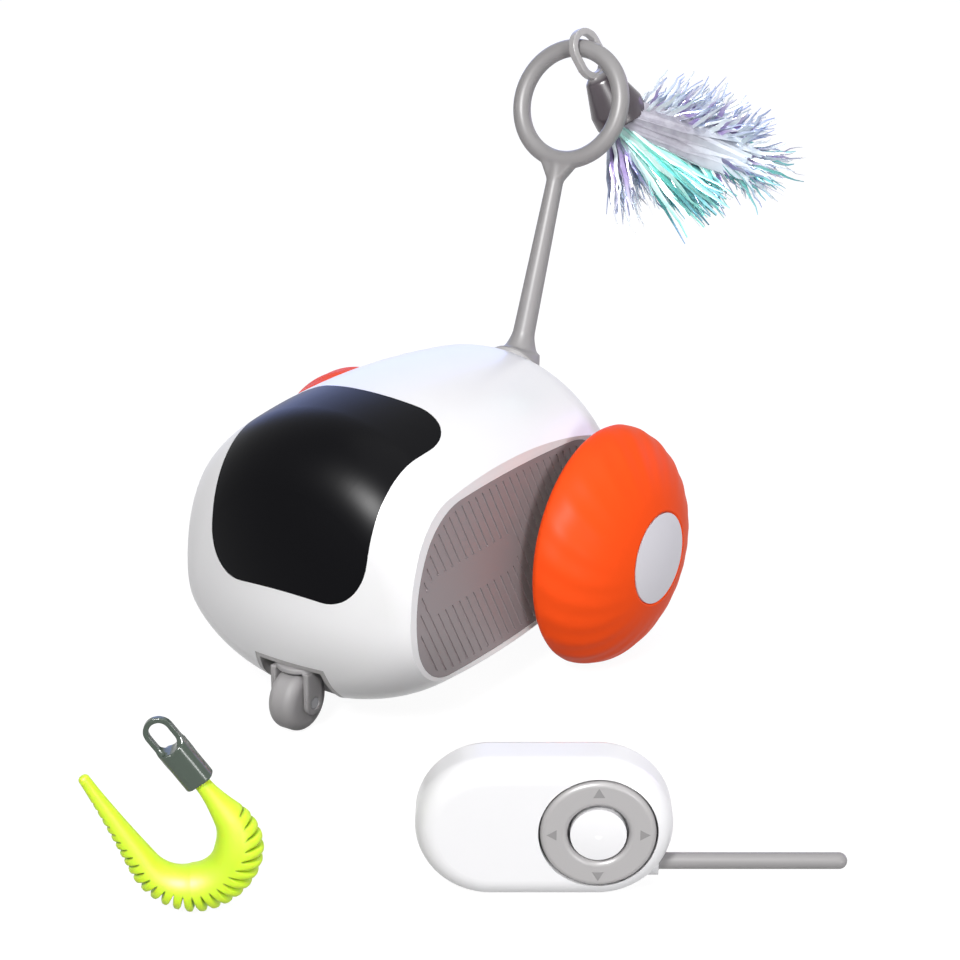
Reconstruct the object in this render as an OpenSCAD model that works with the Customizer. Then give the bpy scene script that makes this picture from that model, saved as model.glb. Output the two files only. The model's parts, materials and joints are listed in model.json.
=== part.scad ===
// Remote control car cat toy: car with lure mast, tinsel lure, handset and spare worm lure.
// Frame: floor at z = 0, the car faces -Y, its left wheel is at +X, the origin lies under the axle.

/* [Body] */
// Width between the flat sides
body_w = 70; // [66:1:76]
// Radius of the dome above the waist
dome_r = 46.5; // [45:0.5:49]
// Height of the waist line above the floor
waist_z = 35.5; // [34.5:0.5:37]
// Depth of the belly below the waist
belly_depth = 32; // [30:0.5:33]
// Place of the thickest section along Y
mid_y = -37; // [-39:0.5:-35]
// Length from the thickest section to the nose
nose_len = 49; // [47:0.5:53]
// Length from the thickest section to the tail
tail_len = 66; // [64:0.5:71]
// Radius of the long crown arc
crown_r = 250; // [200:5:320]
// Radius of the nose shoulder
nose_round = 22.5; // [20:0.5:25]
// Radius of the tail shoulder
tail_round = 24; // [21:0.5:27]
// Radius of the nose and tail end caps
end_r = 93; // [80:1:120]
// Wall of the moulded shell
wall = 2.2; // [1.9:0.1:2.6]

/* [Visor and side panels] */
// Width of the visor across its brow
visor_w = 51; // [46:0.5:54]
// Height of the visor along its chord
visor_h = 56; // [50:0.5:58]
// Corner radius of the visor
visor_corner = 11.5; // [8:0.5:14]
// Amount by which the visor narrows to its chin, each side
visor_taper = 1.5; // [0:0.5:3]
// Lean of the visor's face from level
visor_lean = 48; // [44:1:52]
// Thickness of the visor
visor_t = 1.3; // [1:0.1:1.5]
// Thickness of the side panels
panel_t = 1.3; // [1:0.1:1.5]
// White rim left above a side panel, half as wide below it
panel_rim = 3.3; // [2.4:0.1:4]
// Gap between the side panel's ends and the body's ends
panel_nose_gap = 10; // [8:0.5:11]
// Spacing of a side panel's grooves
groove_pitch = 3.15; // [2.4:0.05:4]
// Width of a groove
groove_w = 0.7; // [0.5:0.05:1]
// Depth of a groove
groove_d = 0.4; // [0.2:0.05:0.5]
// Lean of the grooves to the nose, in degrees
groove_lean = 30; // [0:1:35]

/* [Wheels] */
// Radius of a drive wheel
wheel_r = 32.5; // [31:0.5:34]
// Distance from the side flat to the wheel's widest circle
wheel_out = 7.3; // [6.5:0.1:9]
// Height of the wheel's dome from its widest circle to the hub cap
dome_h = 17.6; // [15:0.2:20]
// Radius of the hub cap
cap_r = 12.25; // [10:0.25:14]
// Number of flutes round a wheel
flutes = 24; // [18:1:28]
// Depth of a flute
flute_d = 0.5; // [0.3:0.1:0.9]
// Turn of a flute from rim to cap, in degrees
flute_twist = 24; // [0:1:40]
// Radius of the wheel axle
axle_r = 2; // [1.6:0.1:2.4]

/* [Drive] */
// Gear module
gear_m = 0.6; // [0.55:0.01:0.64]
// Teeth on the small gears
teeth_small = 12; // [12:1:13]
// Teeth on the large gears
teeth_big = 36; // [34:1:38]
// Face width of a gear
gear_w = 3; // [2.4:0.1:3.2]
// Radius of the motor can
motor_r = 8; // [7:0.1:8.5]
// Length of the motor can
motor_len = 17; // [14:0.5:17]
// Radius of the battery cell
cell_r = 7; // [6:0.1:7.4]
// Length of the battery cell
cell_len = 48; // [40:1:50]

/* [Caster] */
// Radius of the caster wheel
caster_r = 8.2; // [7.6:0.1:8.8]
// Width of the caster wheel
caster_w = 8; // [7:0.1:8.6]
// Offset of the caster axle from the swivel axis
caster_trail = 1.5; // [1:0.1:2.5]
// Place of the swivel axis along Y
caster_y = -78; // [-79:0.5:-76]
// Turn of the caster axle from X in the stored pose, in degrees
caster_turn = 0; // [0:1:90]

/* [Mast and tinsel lure] */
// Lean of the mast, in degrees
mast_lean = 21.3; // [16:0.1:26]
// Angle of the mast's plug above level, square to the tail shoulder
plug_rise = 35; // [30:1:45]
// Length of the mast from its elbow to the ring's centre
mast_len = 71; // [60:1:85]
// Radius of the mast at its foot
mast_foot_r = 3.2; // [2.8:0.1:3.6]
// Radius of the mast under the ring
mast_top_r = 2.3; // [2:0.1:2.35]
// Centre line radius of the ring
ring_r = 15.5; // [14:0.5:18]
// Radius of the ring's round section
ring_tube_r = 2.5; // [2.5:0.1:2.8]
// Place of the lure's eye on the ring, degrees from the top
eye_at = 4; // [0:1:12]
// Compass direction of the lure from X, in degrees
lure_az = 38; // [34:1:46]
// Droop of the lure below level, in degrees
lure_drop = 62; // [57:1:65]
// Radius of the lure clip's mouth
clip_mouth_r = 7.6; // [6.6:0.1:8]
// Length of the lure clip from the eye's centre to its mouth
clip_len = 22.5; // [21:0.5:25]
// Longest tinsel strand
tinsel_len = 48; // [40:1:54]
// Spread of the outermost strands, in degrees
tinsel_spread = 50; // [36:1:56]
// Bend of the plume away from the clip's axis, in degrees
tinsel_bend = 22; // [0:1:45]
// Direction of that bend round the clip, from the upper side, in degrees
tinsel_bend_to = 60; // [40:1:80]

/* [Handset] */
// Length of the handset
hs_len = 58; // [57:0.5:62]
// Width of the handset
hs_w = 34; // [33.6:0.2:36]
// Height of the handset
hs_h = 13.5; // [13.2:0.1:15]
// Wall of the handset shells
hs_wall = 1.6; // [1.4:0.1:1.8]
// Outer radius of the direction ring
pad_r = 13; // [12.4:0.1:13.4]
// Radius of the centre button
button_r = 6.3; // [5.6:0.1:6.6]
// Radius of the whip
whip_r = 1.9; // [1.6:0.1:2.2]
// Free length of the whip
whip_len = 44; // [36:0.5:56]
// Radius of the coin cell
coin_r = 10; // [9:0.1:10.2]

/* [Worm lure] */
// Radius of the worm's bend
worm_bend_r = 11.4; // [10:0.2:13]
// Sweep of the bend, in degrees
worm_sweep = 185; // [175:1:195]
// Length of the straight tail
worm_tail_len = 25; // [20:1:32]
// Largest radius of the worm
worm_r = 5.6; // [4.8:0.1:6]
// Number of ribs
worm_ribs = 20; // [12:1:26]

/* [Fits] */
// Gap round a fixed piece set into a shell
seat_gap = 0.1; // [0.05:0.01:0.15]
// Running clearance of a shaft in its bore
run_gap = 0.05; // [0.03:0.01:0.08]

/* [Hidden] */
$fn = 64;

// Colours as the photograph shows them
WHITE = [0.93, 0.93, 0.94];
BLACK = [0.03, 0.03, 0.04];
PANEL_GREY = [0.5, 0.48, 0.49];
SOFT_GREY = [0.67, 0.66, 0.66];
ORANGE = [1, 0.35, 0.1];
NEON = [0.84, 0.98, 0.16];
AQUA = [0.4, 0.86, 0.8];
CLIP_DARK = [0.36, 0.4, 0.38];
STEEL = [0.72, 0.72, 0.74];
BOARD_GREEN = [0.1, 0.36, 0.2];
BRASS = [0.8, 0.65, 0.3];
NYLON = [0.9, 0.88, 0.8];

// Body
half_w = body_w / 2;
belly_k = belly_depth / dome_r;
flat_h = sqrt(dome_r * dome_r - half_w * half_w);
panel_tail_gap = panel_nose_gap + 3;
panel_nose = nose_len - panel_nose_gap;
panel_tail = tail_len - panel_tail_gap;
panel_top = flat_h - panel_rim;
panel_low = flat_h * belly_k - panel_rim / 2;
panel_crown_r = 400;
panel_nose_round = 18.5;
panel_tail_round = 22;
panel_low_share = 0.8;
groove_margin = 1.6;
groove_start = -1.55;
band_y = [-35, 7.3];
band_z = 5.1;
band_h = 10.3;
visor_mid = [0, mid_y - 0.544 * nose_len, waist_z + 0.489 * dome_r];
window_r = 8;
window_boss = 2.4;
window_depth = 7;

// Belly pan
pan_w = body_w - 16;
pan_y = [-57, 15];
pan_corner = 14;
pan_lip = 6;
pan_lip_out = 3.6;
pan_lip_t = 1.6;
pan_screw_x = pan_w / 2 - 3;
pan_screws = [[pan_screw_x, -37], [pan_screw_x, -2]];
screw_r = 1;
screw_head_r = 2;
screw_head_t = 1.4;
foot_z = 16.5;
post_r = 3;
post_x = 16;
post_y = [-30, 3];

// Drive train, as (y, z) places and x stations counted from the side wall inwards
axle_z = wheel_r;
wall_x = half_w - wall;
cover_t = 1.6;
cover_x = wall_x - 0.6 - cover_t;
gear_space = 2 * gear_w + 2;
plate_t = 2;
plate_x = cover_x - gear_space;
gear_gap = 0.7;
stage_d = gear_m * (teeth_small + teeth_big) / 2;
stage_rise = 20;
idler_at = [-stage_d * cos(stage_rise), axle_z + stage_d * sin(stage_rise)];
motor_at = [-2 * stage_d * cos(stage_rise), axle_z];
axle_at = [0, axle_z];
idler_pin_r = 1.5;
motor_shaft_r = 1;
motor_boss_r = 3;
bush_r = 4;
bush_flange_r = 6;
bush_flange_t = 1.35;
inner_flange_t = 1.2;
pillars = [[-32, axle_z + 9], [-20, axle_z - 10], [11, axle_z - 8.4], [8, axle_z + 13]];
pillar_r = 2.2;
frame_edge = 3;
frame_y = [-34, 9];
board_z = axle_z + 18;
board_size = [52, 26, 1.6];
board_y = -15;
peg_r = 1.2;
cell_y = -46;
cell_z = 20;
cradle_w = 9.6;

// Wheels
rim_x = half_w + wheel_out;
back_x = half_w + 4.8;
back_round = 2.4;
seat_r = wheel_r - 4.4;
boss_r = 5;
face_x = rim_x + dome_h;
face_r = cap_r + 0.95;
dome_arc = acos(face_r / wheel_r);
dome_deep = dome_h / sin(dome_arc);
tyre_t = 2.6;
cap_t = 1.4;
cap_crown = 1.3;
hub_end = face_x - cap_t - 0.1;

// Caster
caster_round = 2.6;
caster_side_gap = 0.3;
caster_axle_r = 1.5;
fork_leg_t = 1.6;
fork_leg_r = 3.2;
caster_half = caster_w / 2 + caster_side_gap + fork_leg_t;
wheel_sweep = norm([caster_trail + caster_r - caster_round, caster_w / 2 - caster_round]) + caster_round;
leg_sweep = norm([caster_trail + fork_leg_r, caster_half]);
well_r = max(wheel_sweep, leg_sweep) + 0.5;
well_wall = 1.2;
well_roof = 2 * caster_r + 1.9;
swivel_r = 2;
swivel_boss_r = 3.4;
swivel_boss_h = 7;

// Mast: the plug stands square to the tail shoulder, and the stem meets it at the elbow
tail_mid = arc_mid(tail_len, dome_r, crown_r, tail_round, end_r);
plug_dir = [0, cos(plug_rise), sin(plug_rise)];
mast_dir = [0, sin(mast_lean), cos(mast_lean)];
plug_seat = [0, mid_y + tail_mid.x, waist_z + tail_mid.y] + tail_round * plug_dir;
elbow = plug_seat + 3.3 * plug_dir;
socket_r = 7.6;
socket_h = 0.6;
socket_deep = 8;
plug_r = 4;
boot_r = 5.6;
ring_mid = elbow + mast_len * mast_dir;

// Lure
eye_dir = [sin(eye_at), 0, 0] + cos(eye_at) * mast_dir;
eye_pos = ring_mid + ring_r * eye_dir;
ring_tangent = [cos(eye_at), 0, 0] - sin(eye_at) * mast_dir;
lure_dir = [cos(lure_drop) * cos(lure_az), cos(lure_drop) * sin(lure_az), -sin(lure_drop)];
eye_axis = unit(ring_tangent - (ring_tangent * lure_dir) * lure_dir);
eye_t = 2.2;
eye_tilt = acos(ring_tangent * eye_axis);
eye_hole = ring_tube_r / cos(eye_tilt) + eye_t / 2 * tan(eye_tilt) + 0.5;
eye_rim = 1.9;
eye_long = 3.4;
clip_neck_r = 4.6;
clip_start = eye_hole + eye_long + 2.2;
clip_shoulder = 1.8;
mouth_deep = 4;
tinsel_root_r = clip_mouth_r - 1;
tinsel_rows = 10;

// Handset, in its own frame: x along its length, its back at z = 0. It stands on its long edge
hs_place = [91.3, -107.1, 0];
hs_turn = 33.4;
hs_r = hs_w / 2;
hs_split = 6;
hs_top_round = 5;
hs_low_round = 2.5;
pad_x = hs_len / 2 - hs_r;
pad_pivot_z = hs_h - 3.5;
pad_hole_r = pad_r + 0.45;
pad_bore_r = button_r + 0.6;
pad_skirt_r = pad_r + 0.75;
pad_wall = 1.15;
pad_skirt_z = pad_pivot_z - 1.2;
pad_top = hs_h + 0.6;
door_x = -7;
door_r = coin_r + 2;
door_t = 1.4;
door_lug = 1.4;
coin_t = 3.2;
contact_t = 0.4;
hs_board_z = door_t + coin_t + contact_t;
hs_board_t = 1.2;
hs_boss_r = 2.6;
hs_boss_at = [7.2 - hs_len / 2, 6.6];
hs_board_r = hs_r - hs_wall - 0.7;
hs_board_x = [hs_boss_at.x + hs_boss_r + 0.3, hs_len / 2 - 7];
hs_posts = [[door_x - 3.5, 13.2], [door_x + 4, -13.2], [14, 11], [14, -11]];
hs_post_r = 1.2;
whip_y = -11;
whip_end = pad_x + sqrt(hs_r * hs_r - whip_y * whip_y);
whip_sink = 2.2;
grommet_r = whip_r + 1.3;

// Worm lure, in its own frame: the bend's centre at the origin, y upwards. It stands on its bend
worm_place = [34.8, -165.0, 0];
worm_turn = 33.4;
worm_start = 35;
worm_neck_r = 1.8;
worm_neck = 10.5;
worm_plug = 4;
worm_tip_r = 1.3;
worm_full = [10, 24];
worm_arc = worm_bend_r * worm_sweep * PI / 180;
worm_len = worm_arc + worm_tail_len;
worm_slot = 0.24;
worm_rings = 3 * worm_ribs;
worm_sides = 12;
worm_clip_w = 7;
worm_clip_t = 5.6;
worm_clip_len = 18.4;
worm_grip = 10.2;
worm_eye_r = 2.3;
worm_eye_len = 7.4;

// Vectors and transforms

function unit(v) = v / norm(v);

// Carries the local frame with axes x, y, z to a place
module on_frame(place, x, y, z) {
    multmatrix([
        [x.x, y.x, z.x, place.x],
        [x.y, y.y, z.y, place.y],
        [x.z, y.z, z.z, place.z]
    ]) children();
}

// Mirrors a left piece to the right for side = -1
module on_side(side) {
    if (side > 0) children();
    else mirror([1, 0, 0]) children();
}

// Cylinder along X from x0 to x1 at the place (y, z)
module x_rod(r, x0, x1, at = [0, 0]) {
    translate([x0, at.x, at.y]) rotate([0, 90, 0]) cylinder(r = r, h = x1 - x0);
}

// Extrudes a (y, z) drawing along X from x0 to x1
module x_plate(x0, x1) {
    translate([x0, 0, 0]) rotate([90, 0, 90]) linear_extrude(x1 - x0) children();
}

module on_handset() {
    translate(hs_place + [0, 0, hs_r]) rotate(hs_turn) rotate([90, 0, 0]) children();
}

module on_worm() {
    translate(worm_place + [0, 0, worm_bend_r + worm_r]) rotate(worm_turn) rotate([90, 0, 0]) children();
}

// Mast frame: z up the mast from the elbow, y to the back
module on_mast() {
    translate(elbow) rotate([-mast_lean, 0, 0]) children();
}

// Plug frame: z out of the tail shoulder
module on_plug() {
    translate(plug_seat) rotate([plug_rise - 90, 0, 0]) children();
}

module on_lure() {
    on_frame(eye_pos, cross(eye_axis, lure_dir), eye_axis, lure_dir) children();
}

module on_caster() {
    translate([0, caster_y, 0]) rotate(caster_turn) children();
}

module on_visor() {
    translate(visor_mid) rotate([visor_lean, 0, 0]) children();
}

// Flat outlines

// Direction from one flat point to another, in degrees
function toward(a, b) = atan2(b.y - a.y, b.x - a.x);

module round_rect(w, h, r) {
    square([w - 2 * r, h], center = true);
    square([w, h - 2 * r], center = true);
    for (x = [-1, 1], y = [-1, 1]) translate([x * (w / 2 - r), y * (h / 2 - r)]) circle(r);
}

// Points of a polygon, listed counter-clockwise, with every corner rounded outwards by r
function rounded_points(points, r, steps = 6) = [
    for (i = [0 : len(points) - 1])
        let (n = len(points), a = points[(i + n - 1) % n], b = points[i], c = points[(i + 1) % n],
             from = toward(a, b) - 90, turn = (toward(b, c) - toward(a, b) + 360) % 360)
        for (k = [0 : steps]) b + r * [cos(from + turn * k / steps), sin(from + turn * k / steps)]
];

// Outline with straight sides and round ends, along x
module stadium(len, r) {
    square([len - 2 * r, 2 * r], center = true);
    for (x = [-1, 1]) translate([x * (len / 2 - r), 0]) circle(r);
}

// Centre of the shoulder arc that touches the crown arc and the end arc from inside
function arc_mid(len, h, rc, rs, re) =
    let (k = [0, h - rc], n = [len - re, 0], d = norm(n - k), e = (n - k) / d,
         a = rc - rs, b = re - rs, x = (a * a - b * b + d * d) / (2 * d))
    k + e * x + sqrt(a * a - x * x) * [e.y, -e.x];

// Quarter outline of three tangent arcs: crown, shoulder and end, drawn back by an inset
module arc_quarter(len, h, rc, rs, re, inset = 0) {
    k = [0, h - rc];
    n = [len - re, 0];
    s = arc_mid(len, h, rc, rs, re);
    difference() {
        intersection() {
            translate(k) circle(rc - inset, $fn = 360);
            translate(n) circle(re - inset, $fn = 180);
            square([len - inset, h - inset]);
        }
        difference() {
            polygon([s, s + 3 * (s - k), s + 3 * (2 * s - k - n), s + 3 * (s - n)]);
            translate(s) circle(rs - inset);
        }
    }
}

// Body

// Half revolve of the body's long profile, above the waist
module half_egg(inset) {
    rotate([-90, 0, 0]) rotate(180) rotate_extrude(angle = 180, $fn = 128) mirror([1, -1]) {
        arc_quarter(tail_len, dome_r, crown_r, tail_round, end_r, inset);
        mirror([1, 0]) arc_quarter(nose_len, dome_r, crown_r, nose_round, end_r, inset);
    }
}

// Whole body form, drawn back by an inset, with a flatter belly and no side flats
module egg(inset = 0) {
    translate([0, mid_y, waist_z]) {
        half_egg(inset);
        scale([1, 1, (belly_depth - inset) / (dome_r - inset)]) mirror([0, 0, 1]) half_egg(inset);
    }
}

// Body form between its side flats
module egg_flat(inset = 0) {
    intersection() {
        egg(inset);
        translate([0, 0, waist_z]) cube([body_w - 2 * inset, 400, 200], center = true);
    }
}

module visor_prism(grow = 0) {
    top = visor_h / 2 - visor_corner;
    brow = visor_w / 2 - visor_corner;
    chin = brow - visor_taper;
    on_visor() translate([0, 0, -18]) linear_extrude(60)
        polygon(rounded_points([[-brow, top], [-chin, -top], [chin, -top], [brow, top]], visor_corner + grow, 12));
}

// Outline of a side panel as a (y, z) drawing
module panel_outline(grow = 0) {
    translate([mid_y, waist_z]) {
        panel_half(panel_top, 1, -grow);
        mirror([0, 1]) panel_half(panel_low, panel_low_share, -grow);
    }
}

// Half of that outline above or below the waist, with its corners drawn by a share
module panel_half(h, share, inset) {
    arc_quarter(panel_tail, h, panel_crown_r, panel_tail_round * share, 45, inset);
    mirror([1, 0]) arc_quarter(panel_nose, h, panel_crown_r, panel_nose_round * share, 36, inset);
}

// Leaning grooves of a side panel as a (y, z) drawing, with a plain band between them
module panel_grooves() {
    reach = 2 * flat_h;
    count = ceil((panel_nose + panel_tail) / groove_pitch);
    difference() {
        intersection() {
            panel_outline(-groove_margin);
            translate([mid_y + groove_start, waist_z]) for (i = [-count : count])
                translate([i * groove_pitch, 0]) rotate(groove_lean)
                    square([groove_w, reach], center = true);
        }
        translate([mid_y + (band_y[0] + band_y[1]) / 2, waist_z + band_z])
            stadium(band_y[1] - band_y[0], band_h / 2);
    }
}

// Prism of the belly pan's outline
module pan_prism(grow, z0, z1) {
    translate([0, (pan_y[0] + pan_y[1]) / 2, z0]) linear_extrude(z1 - z0)
        round_rect(pan_w + 2 * grow, pan_y[1] - pan_y[0] + 2 * grow, pan_corner + grow);
}

module at_pan_screws() {
    for (p = pan_screws, side = [-1, 1]) translate([side * p.x, p.y, 0]) children();
}

module main_shell() {
    color(WHITE) difference() {
        union() {
            difference() {
                egg_flat();
                egg_flat(wall);
            }
            shell_fittings();
        }
        shell_cuts();
    }
}

// Lip under the belly opening, screw bosses, receiver boss and charge port boss
module shell_fittings() {
    intersection() {
        difference() {
            egg_flat(wall / 2);
            egg_flat(wall + pan_lip_t);
        }
        pan_prism(pan_lip_out, 0, waist_z);
    }
    intersection() {
        egg_flat(wall / 2);
        union() {
            at_pan_screws() cylinder(r = 2.8, h = foot_z - 1);
            translate([-8, mid_y + tail_len - 9, axle_z - 6]) cube([16, 9, 9]);
            on_visor() translate([0, 0, -window_depth]) cylinder(r = window_r + window_boss, h = 40);
        }
    }
}

module shell_cuts() {
    difference() {
        pan_prism(seat_gap, -1, 25);
        egg_flat(wall + seat_gap);
    }
    pan_prism(-pan_lip, -1, 25);
    at_pan_screws() cylinder(r = screw_r, h = 16);
    difference() {
        visor_prism(seat_gap);
        egg(visor_t + seat_gap);
    }
    on_visor() translate([0, 0, -40]) cylinder(r = window_r, h = 80);
    on_visor() translate([0, 0, -40 - window_depth]) cylinder(r = window_r + window_boss + 1, h = 40);
    for (side = [1, -1]) on_side(side) {
        x_plate(half_w - panel_t - seat_gap, half_w + 1) panel_outline(seat_gap);
        x_rod(bush_r + seat_gap, wall_x - 1, half_w, axle_at);
    }
    on_plug() translate([0, 0, -30]) cylinder(r = socket_r + seat_gap, h = 40);
    translate([0, caster_y, -1])
        cylinder(r = well_r + well_wall + seat_gap, h = well_roof + well_wall + 1 + seat_gap);
    translate([0, caster_y, well_roof]) cylinder(r = swivel_boss_r + seat_gap, h = swivel_boss_h + seat_gap);
    port_slot(port_w + 2 * seat_gap, port_h + 2 * seat_gap, -20, 20);
}

module belly_pan() {
    color(WHITE) difference() {
        union() {
            intersection() {
                difference() {
                    egg_flat();
                    egg_flat(wall);
                }
                pan_prism(0, 0, 25);
            }
            intersection() {
                egg_flat(wall / 2);
                pan_fittings();
            }
        }
        at_pan_screws() {
            cylinder(r = screw_r + 0.1, h = 25);
            cylinder(r = screw_head_r + 0.1, h = pan_screw_z + screw_head_t);
        }
        switch_slot();
        x_rod(cell_r + seat_gap, -cell_len, cell_len, [cell_y, cell_z]);
    }
}

// Posts under the gearbox frames, battery cradle and switch pad
module pan_fittings() {
    for (side = [1, -1], y = post_y) translate([side * post_x, y, 0])
        cylinder(r = post_r, h = foot_z);
    for (side = [1, -1]) translate([side * 13 - 1, cell_y - cradle_w / 2, 0])
        cube([2, cradle_w, cell_z - 2]);
    translate([switch_x - 6, switch_y - 6, 0]) cube([12, 12, switch_z]);
}

// Height of the belly's skin under a pan screw
pan_screw_z = waist_z - belly_k * sqrt(dome_r * dome_r - pan_screws[0].x * pan_screws[0].x) - 0.6;

module belly_screws() {
    color(STEEL) at_pan_screws() {
        translate([0, 0, pan_screw_z]) cylinder(r = screw_head_r, h = screw_head_t);
        translate([0, 0, pan_screw_z]) cylinder(r = screw_r - 0.02, h = 6.5);
    }
}

module visor() {
    color(BLACK) intersection() {
        difference() {
            egg();
            egg(visor_t);
        }
        visor_prism();
    }
}

module side_panel(side) {
    color(PANEL_GREY) on_side(side) difference() {
        x_plate(half_w - panel_t, half_w) panel_outline();
        x_plate(half_w - groove_d, half_w + 1) panel_grooves();
        x_rod(bush_r + seat_gap, wall_x, half_w + 1, axle_at);
    }
}

// Caster

module caster_well() {
    r = well_r + well_wall;
    color(SOFT_GREY) difference() {
        union() {
            intersection() {
                egg();
                translate([0, caster_y, 0]) cylinder(r = r, h = well_roof + well_wall);
            }
            translate([0, caster_y, well_roof]) cylinder(r = swivel_boss_r, h = swivel_boss_h);
        }
        translate([0, caster_y, -1]) cylinder(r = well_r, h = well_roof + 1);
        translate([0, caster_y, 0]) cylinder(r = swivel_r + run_gap, h = 60);
    }
}

// Swivel pin with its snap head, crown and the two legs that carry the axle
module caster_fork() {
    head_z = well_roof + swivel_boss_h + 0.2;
    crown_z = 2 * caster_r + 0.3;
    color(SOFT_GREY) on_caster() difference() {
        union() {
            translate([0, 0, crown_z]) cylinder(r = swivel_r, h = head_z + 1.3 - crown_z);
            translate([0, 0, head_z]) cylinder(r1 = swivel_r + 0.8, r2 = swivel_r - 0.4, h = 1.3);
            translate([0, 0, crown_z]) cylinder(r = caster_half, h = well_roof - 0.15 - crown_z);
            for (side = [1, -1]) on_side(side) fork_leg(crown_z + 0.5);
        }
        translate([0, -caster_trail, caster_r]) x_rod(caster_axle_r + run_gap, -20, 20);
    }
}

// Left leg of the caster fork, up to the height top
module fork_leg(top) {
    inner = caster_half - fork_leg_t;
    translate([inner, -caster_trail - fork_leg_r, caster_r]) cube([fork_leg_t, 2 * fork_leg_r, top - caster_r]);
    x_rod(fork_leg_r, inner, caster_half, [-caster_trail, caster_r]);
}

module caster_axle() {
    reach = caster_half - 0.2;
    color(STEEL) on_caster() x_rod(caster_axle_r, -reach, reach, [-caster_trail, caster_r]);
}

// Fat caster wheel with well rounded edges
module caster_roller() {
    half = caster_w / 2;
    flat = half - caster_round;
    color(SOFT_GREY) on_caster() translate([0, -caster_trail, caster_r]) rotate([0, 90, 0]) rotate_extrude() {
        translate([caster_axle_r, -half]) square([caster_r - caster_round - caster_axle_r, caster_w]);
        translate([caster_axle_r, -flat]) square([caster_r - caster_axle_r, 2 * flat]);
        for (side = [1, -1]) translate([caster_r - caster_round, side * flat]) circle(caster_round);
    }
}

// Mast and tinsel lure

module tail_socket() {
    color(SOFT_GREY) on_plug() difference() {
        translate([0, 0, -socket_deep]) cylinder(r = socket_r, h = socket_deep + socket_h);
        translate([0, 0, 1.5 - socket_deep]) cylinder(r = plug_r + seat_gap, h = socket_deep);
    }
}

module tail_mast() {
    color(SOFT_GREY) {
        hull() {
            on_plug() translate([0, 0, socket_h]) cylinder(r = socket_r - 0.4, h = 0.8);
            on_mast() translate([0, 0, 1]) cylinder(r = boot_r, h = 0.8);
        }
        on_plug() translate([0, 0, 2 - socket_deep]) cylinder(r = plug_r, h = socket_deep);
        on_mast() {
            boot_flare();
            cylinder(r1 = mast_foot_r, r2 = mast_top_r, h = mast_len - ring_r);
            translate([0, 0, mast_len]) rotate([90, 0, 0]) rotate_extrude($fn = 96)
                translate([ring_r, 0]) circle(ring_tube_r, $fn = 48);
            ring_neck();
        }
    }
}

// Concave flare from the stem down to the boot
module boot_flare() {
    h = 9;
    w = boot_r - mast_foot_r;
    bend = (h * h + w * w) / (2 * w);
    translate([0, 0, 1.2]) rotate_extrude() difference() {
        square([boot_r - 0.3, h]);
        translate([mast_foot_r + bend - 0.5, h]) circle(bend, $fn = 128);
    }
}

// Flat web where the stem spreads into the ring
module ring_neck() {
    h = 7;
    translate([0, 0, mast_len - ring_r - h]) intersection() {
        cylinder(r1 = mast_top_r - 0.6, r2 = 6, h = h);
        translate([-10, -mast_top_r + 0.3, 0]) cube([20, 2 * mast_top_r - 0.6, h]);
    }
}

// Eye round the ring and the ferrule that grips the tinsel
module lure_clip() {
    length = clip_len - clip_start;
    color(CLIP_DARK) on_lure() difference() {
        union() {
            lure_eye(eye_hole + eye_rim, eye_t);
            translate([0, 0, clip_start]) {
                translate([0, 0, -clip_shoulder])
                    cylinder(r1 = clip_neck_r - clip_shoulder, r2 = clip_neck_r, h = clip_shoulder);
                cylinder(r1 = clip_neck_r, r2 = clip_mouth_r, h = length * 0.7);
                translate([0, 0, length * 0.7]) cylinder(r = clip_mouth_r, h = length * 0.3);
            }
        }
        lure_eye(eye_hole, 3 * clip_mouth_r);
        translate([0, 0, clip_len - mouth_deep]) cylinder(r = tinsel_root_r + seat_gap, h = mouth_deep + 1);
    }
}

// Long eye of the lure clip as a plate of thickness t, drawn with the end radius r
module lure_eye(r, t) {
    translate([0, t / 2, eye_long / 2]) rotate([90, 0, 0]) linear_extrude(t) rotate(90) stadium(eye_long + 2 * r, r);
}

// Tinsel plume: a lattice of triangles on the backing, where every upright triangle grows a strand

function row_count(j) = 2 * tinsel_rows + 1 - abs(j);

// Lattice point k of row j, drawn out from a hexagon to the unit disc
function lattice(j, k) =
    let (p = [k - (row_count(j) - 1) / 2, j * sqrt(3) / 2],
         reach = max(abs(2 * p.y / sqrt(3)), abs(p.x) + abs(p.y) / sqrt(3)) / tinsel_rows)
    norm(p) == 0 ? [0, 0] : reach * p / norm(p);

// Number of lattice points in the rows before row j
function row_start(j) = j <= -tinsel_rows ? 0 : row_start(j - 1) + row_count(j - 1);

function upright(j) = [for (k = [0 : row_count(j) - 2])
    j >= 0 ? [[j, k], [j, k + 1], [j + 1, k]] : [[j, k], [j, k + 1], [j + 1, k + 1]]];

function hanging(j) = [for (k = [0 : row_count(j + 1) - 2])
    j >= 0 ? [[j + 1, k + 1], [j + 1, k], [j, k + 1]] : [[j + 1, k + 1], [j + 1, k], [j, k]]];

// Turns a direction by an angle from the clip's axis towards the side that the plume bends to
function bent(v, turn) =
    let (side = [cos(tinsel_bend_to), sin(tinsel_bend_to), 0], a = v * side)
    v + (a * cos(turn) + v.z * sin(turn) - a) * side + [0, 0, v.z * cos(turn) - a * sin(turn) - v.z];

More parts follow.
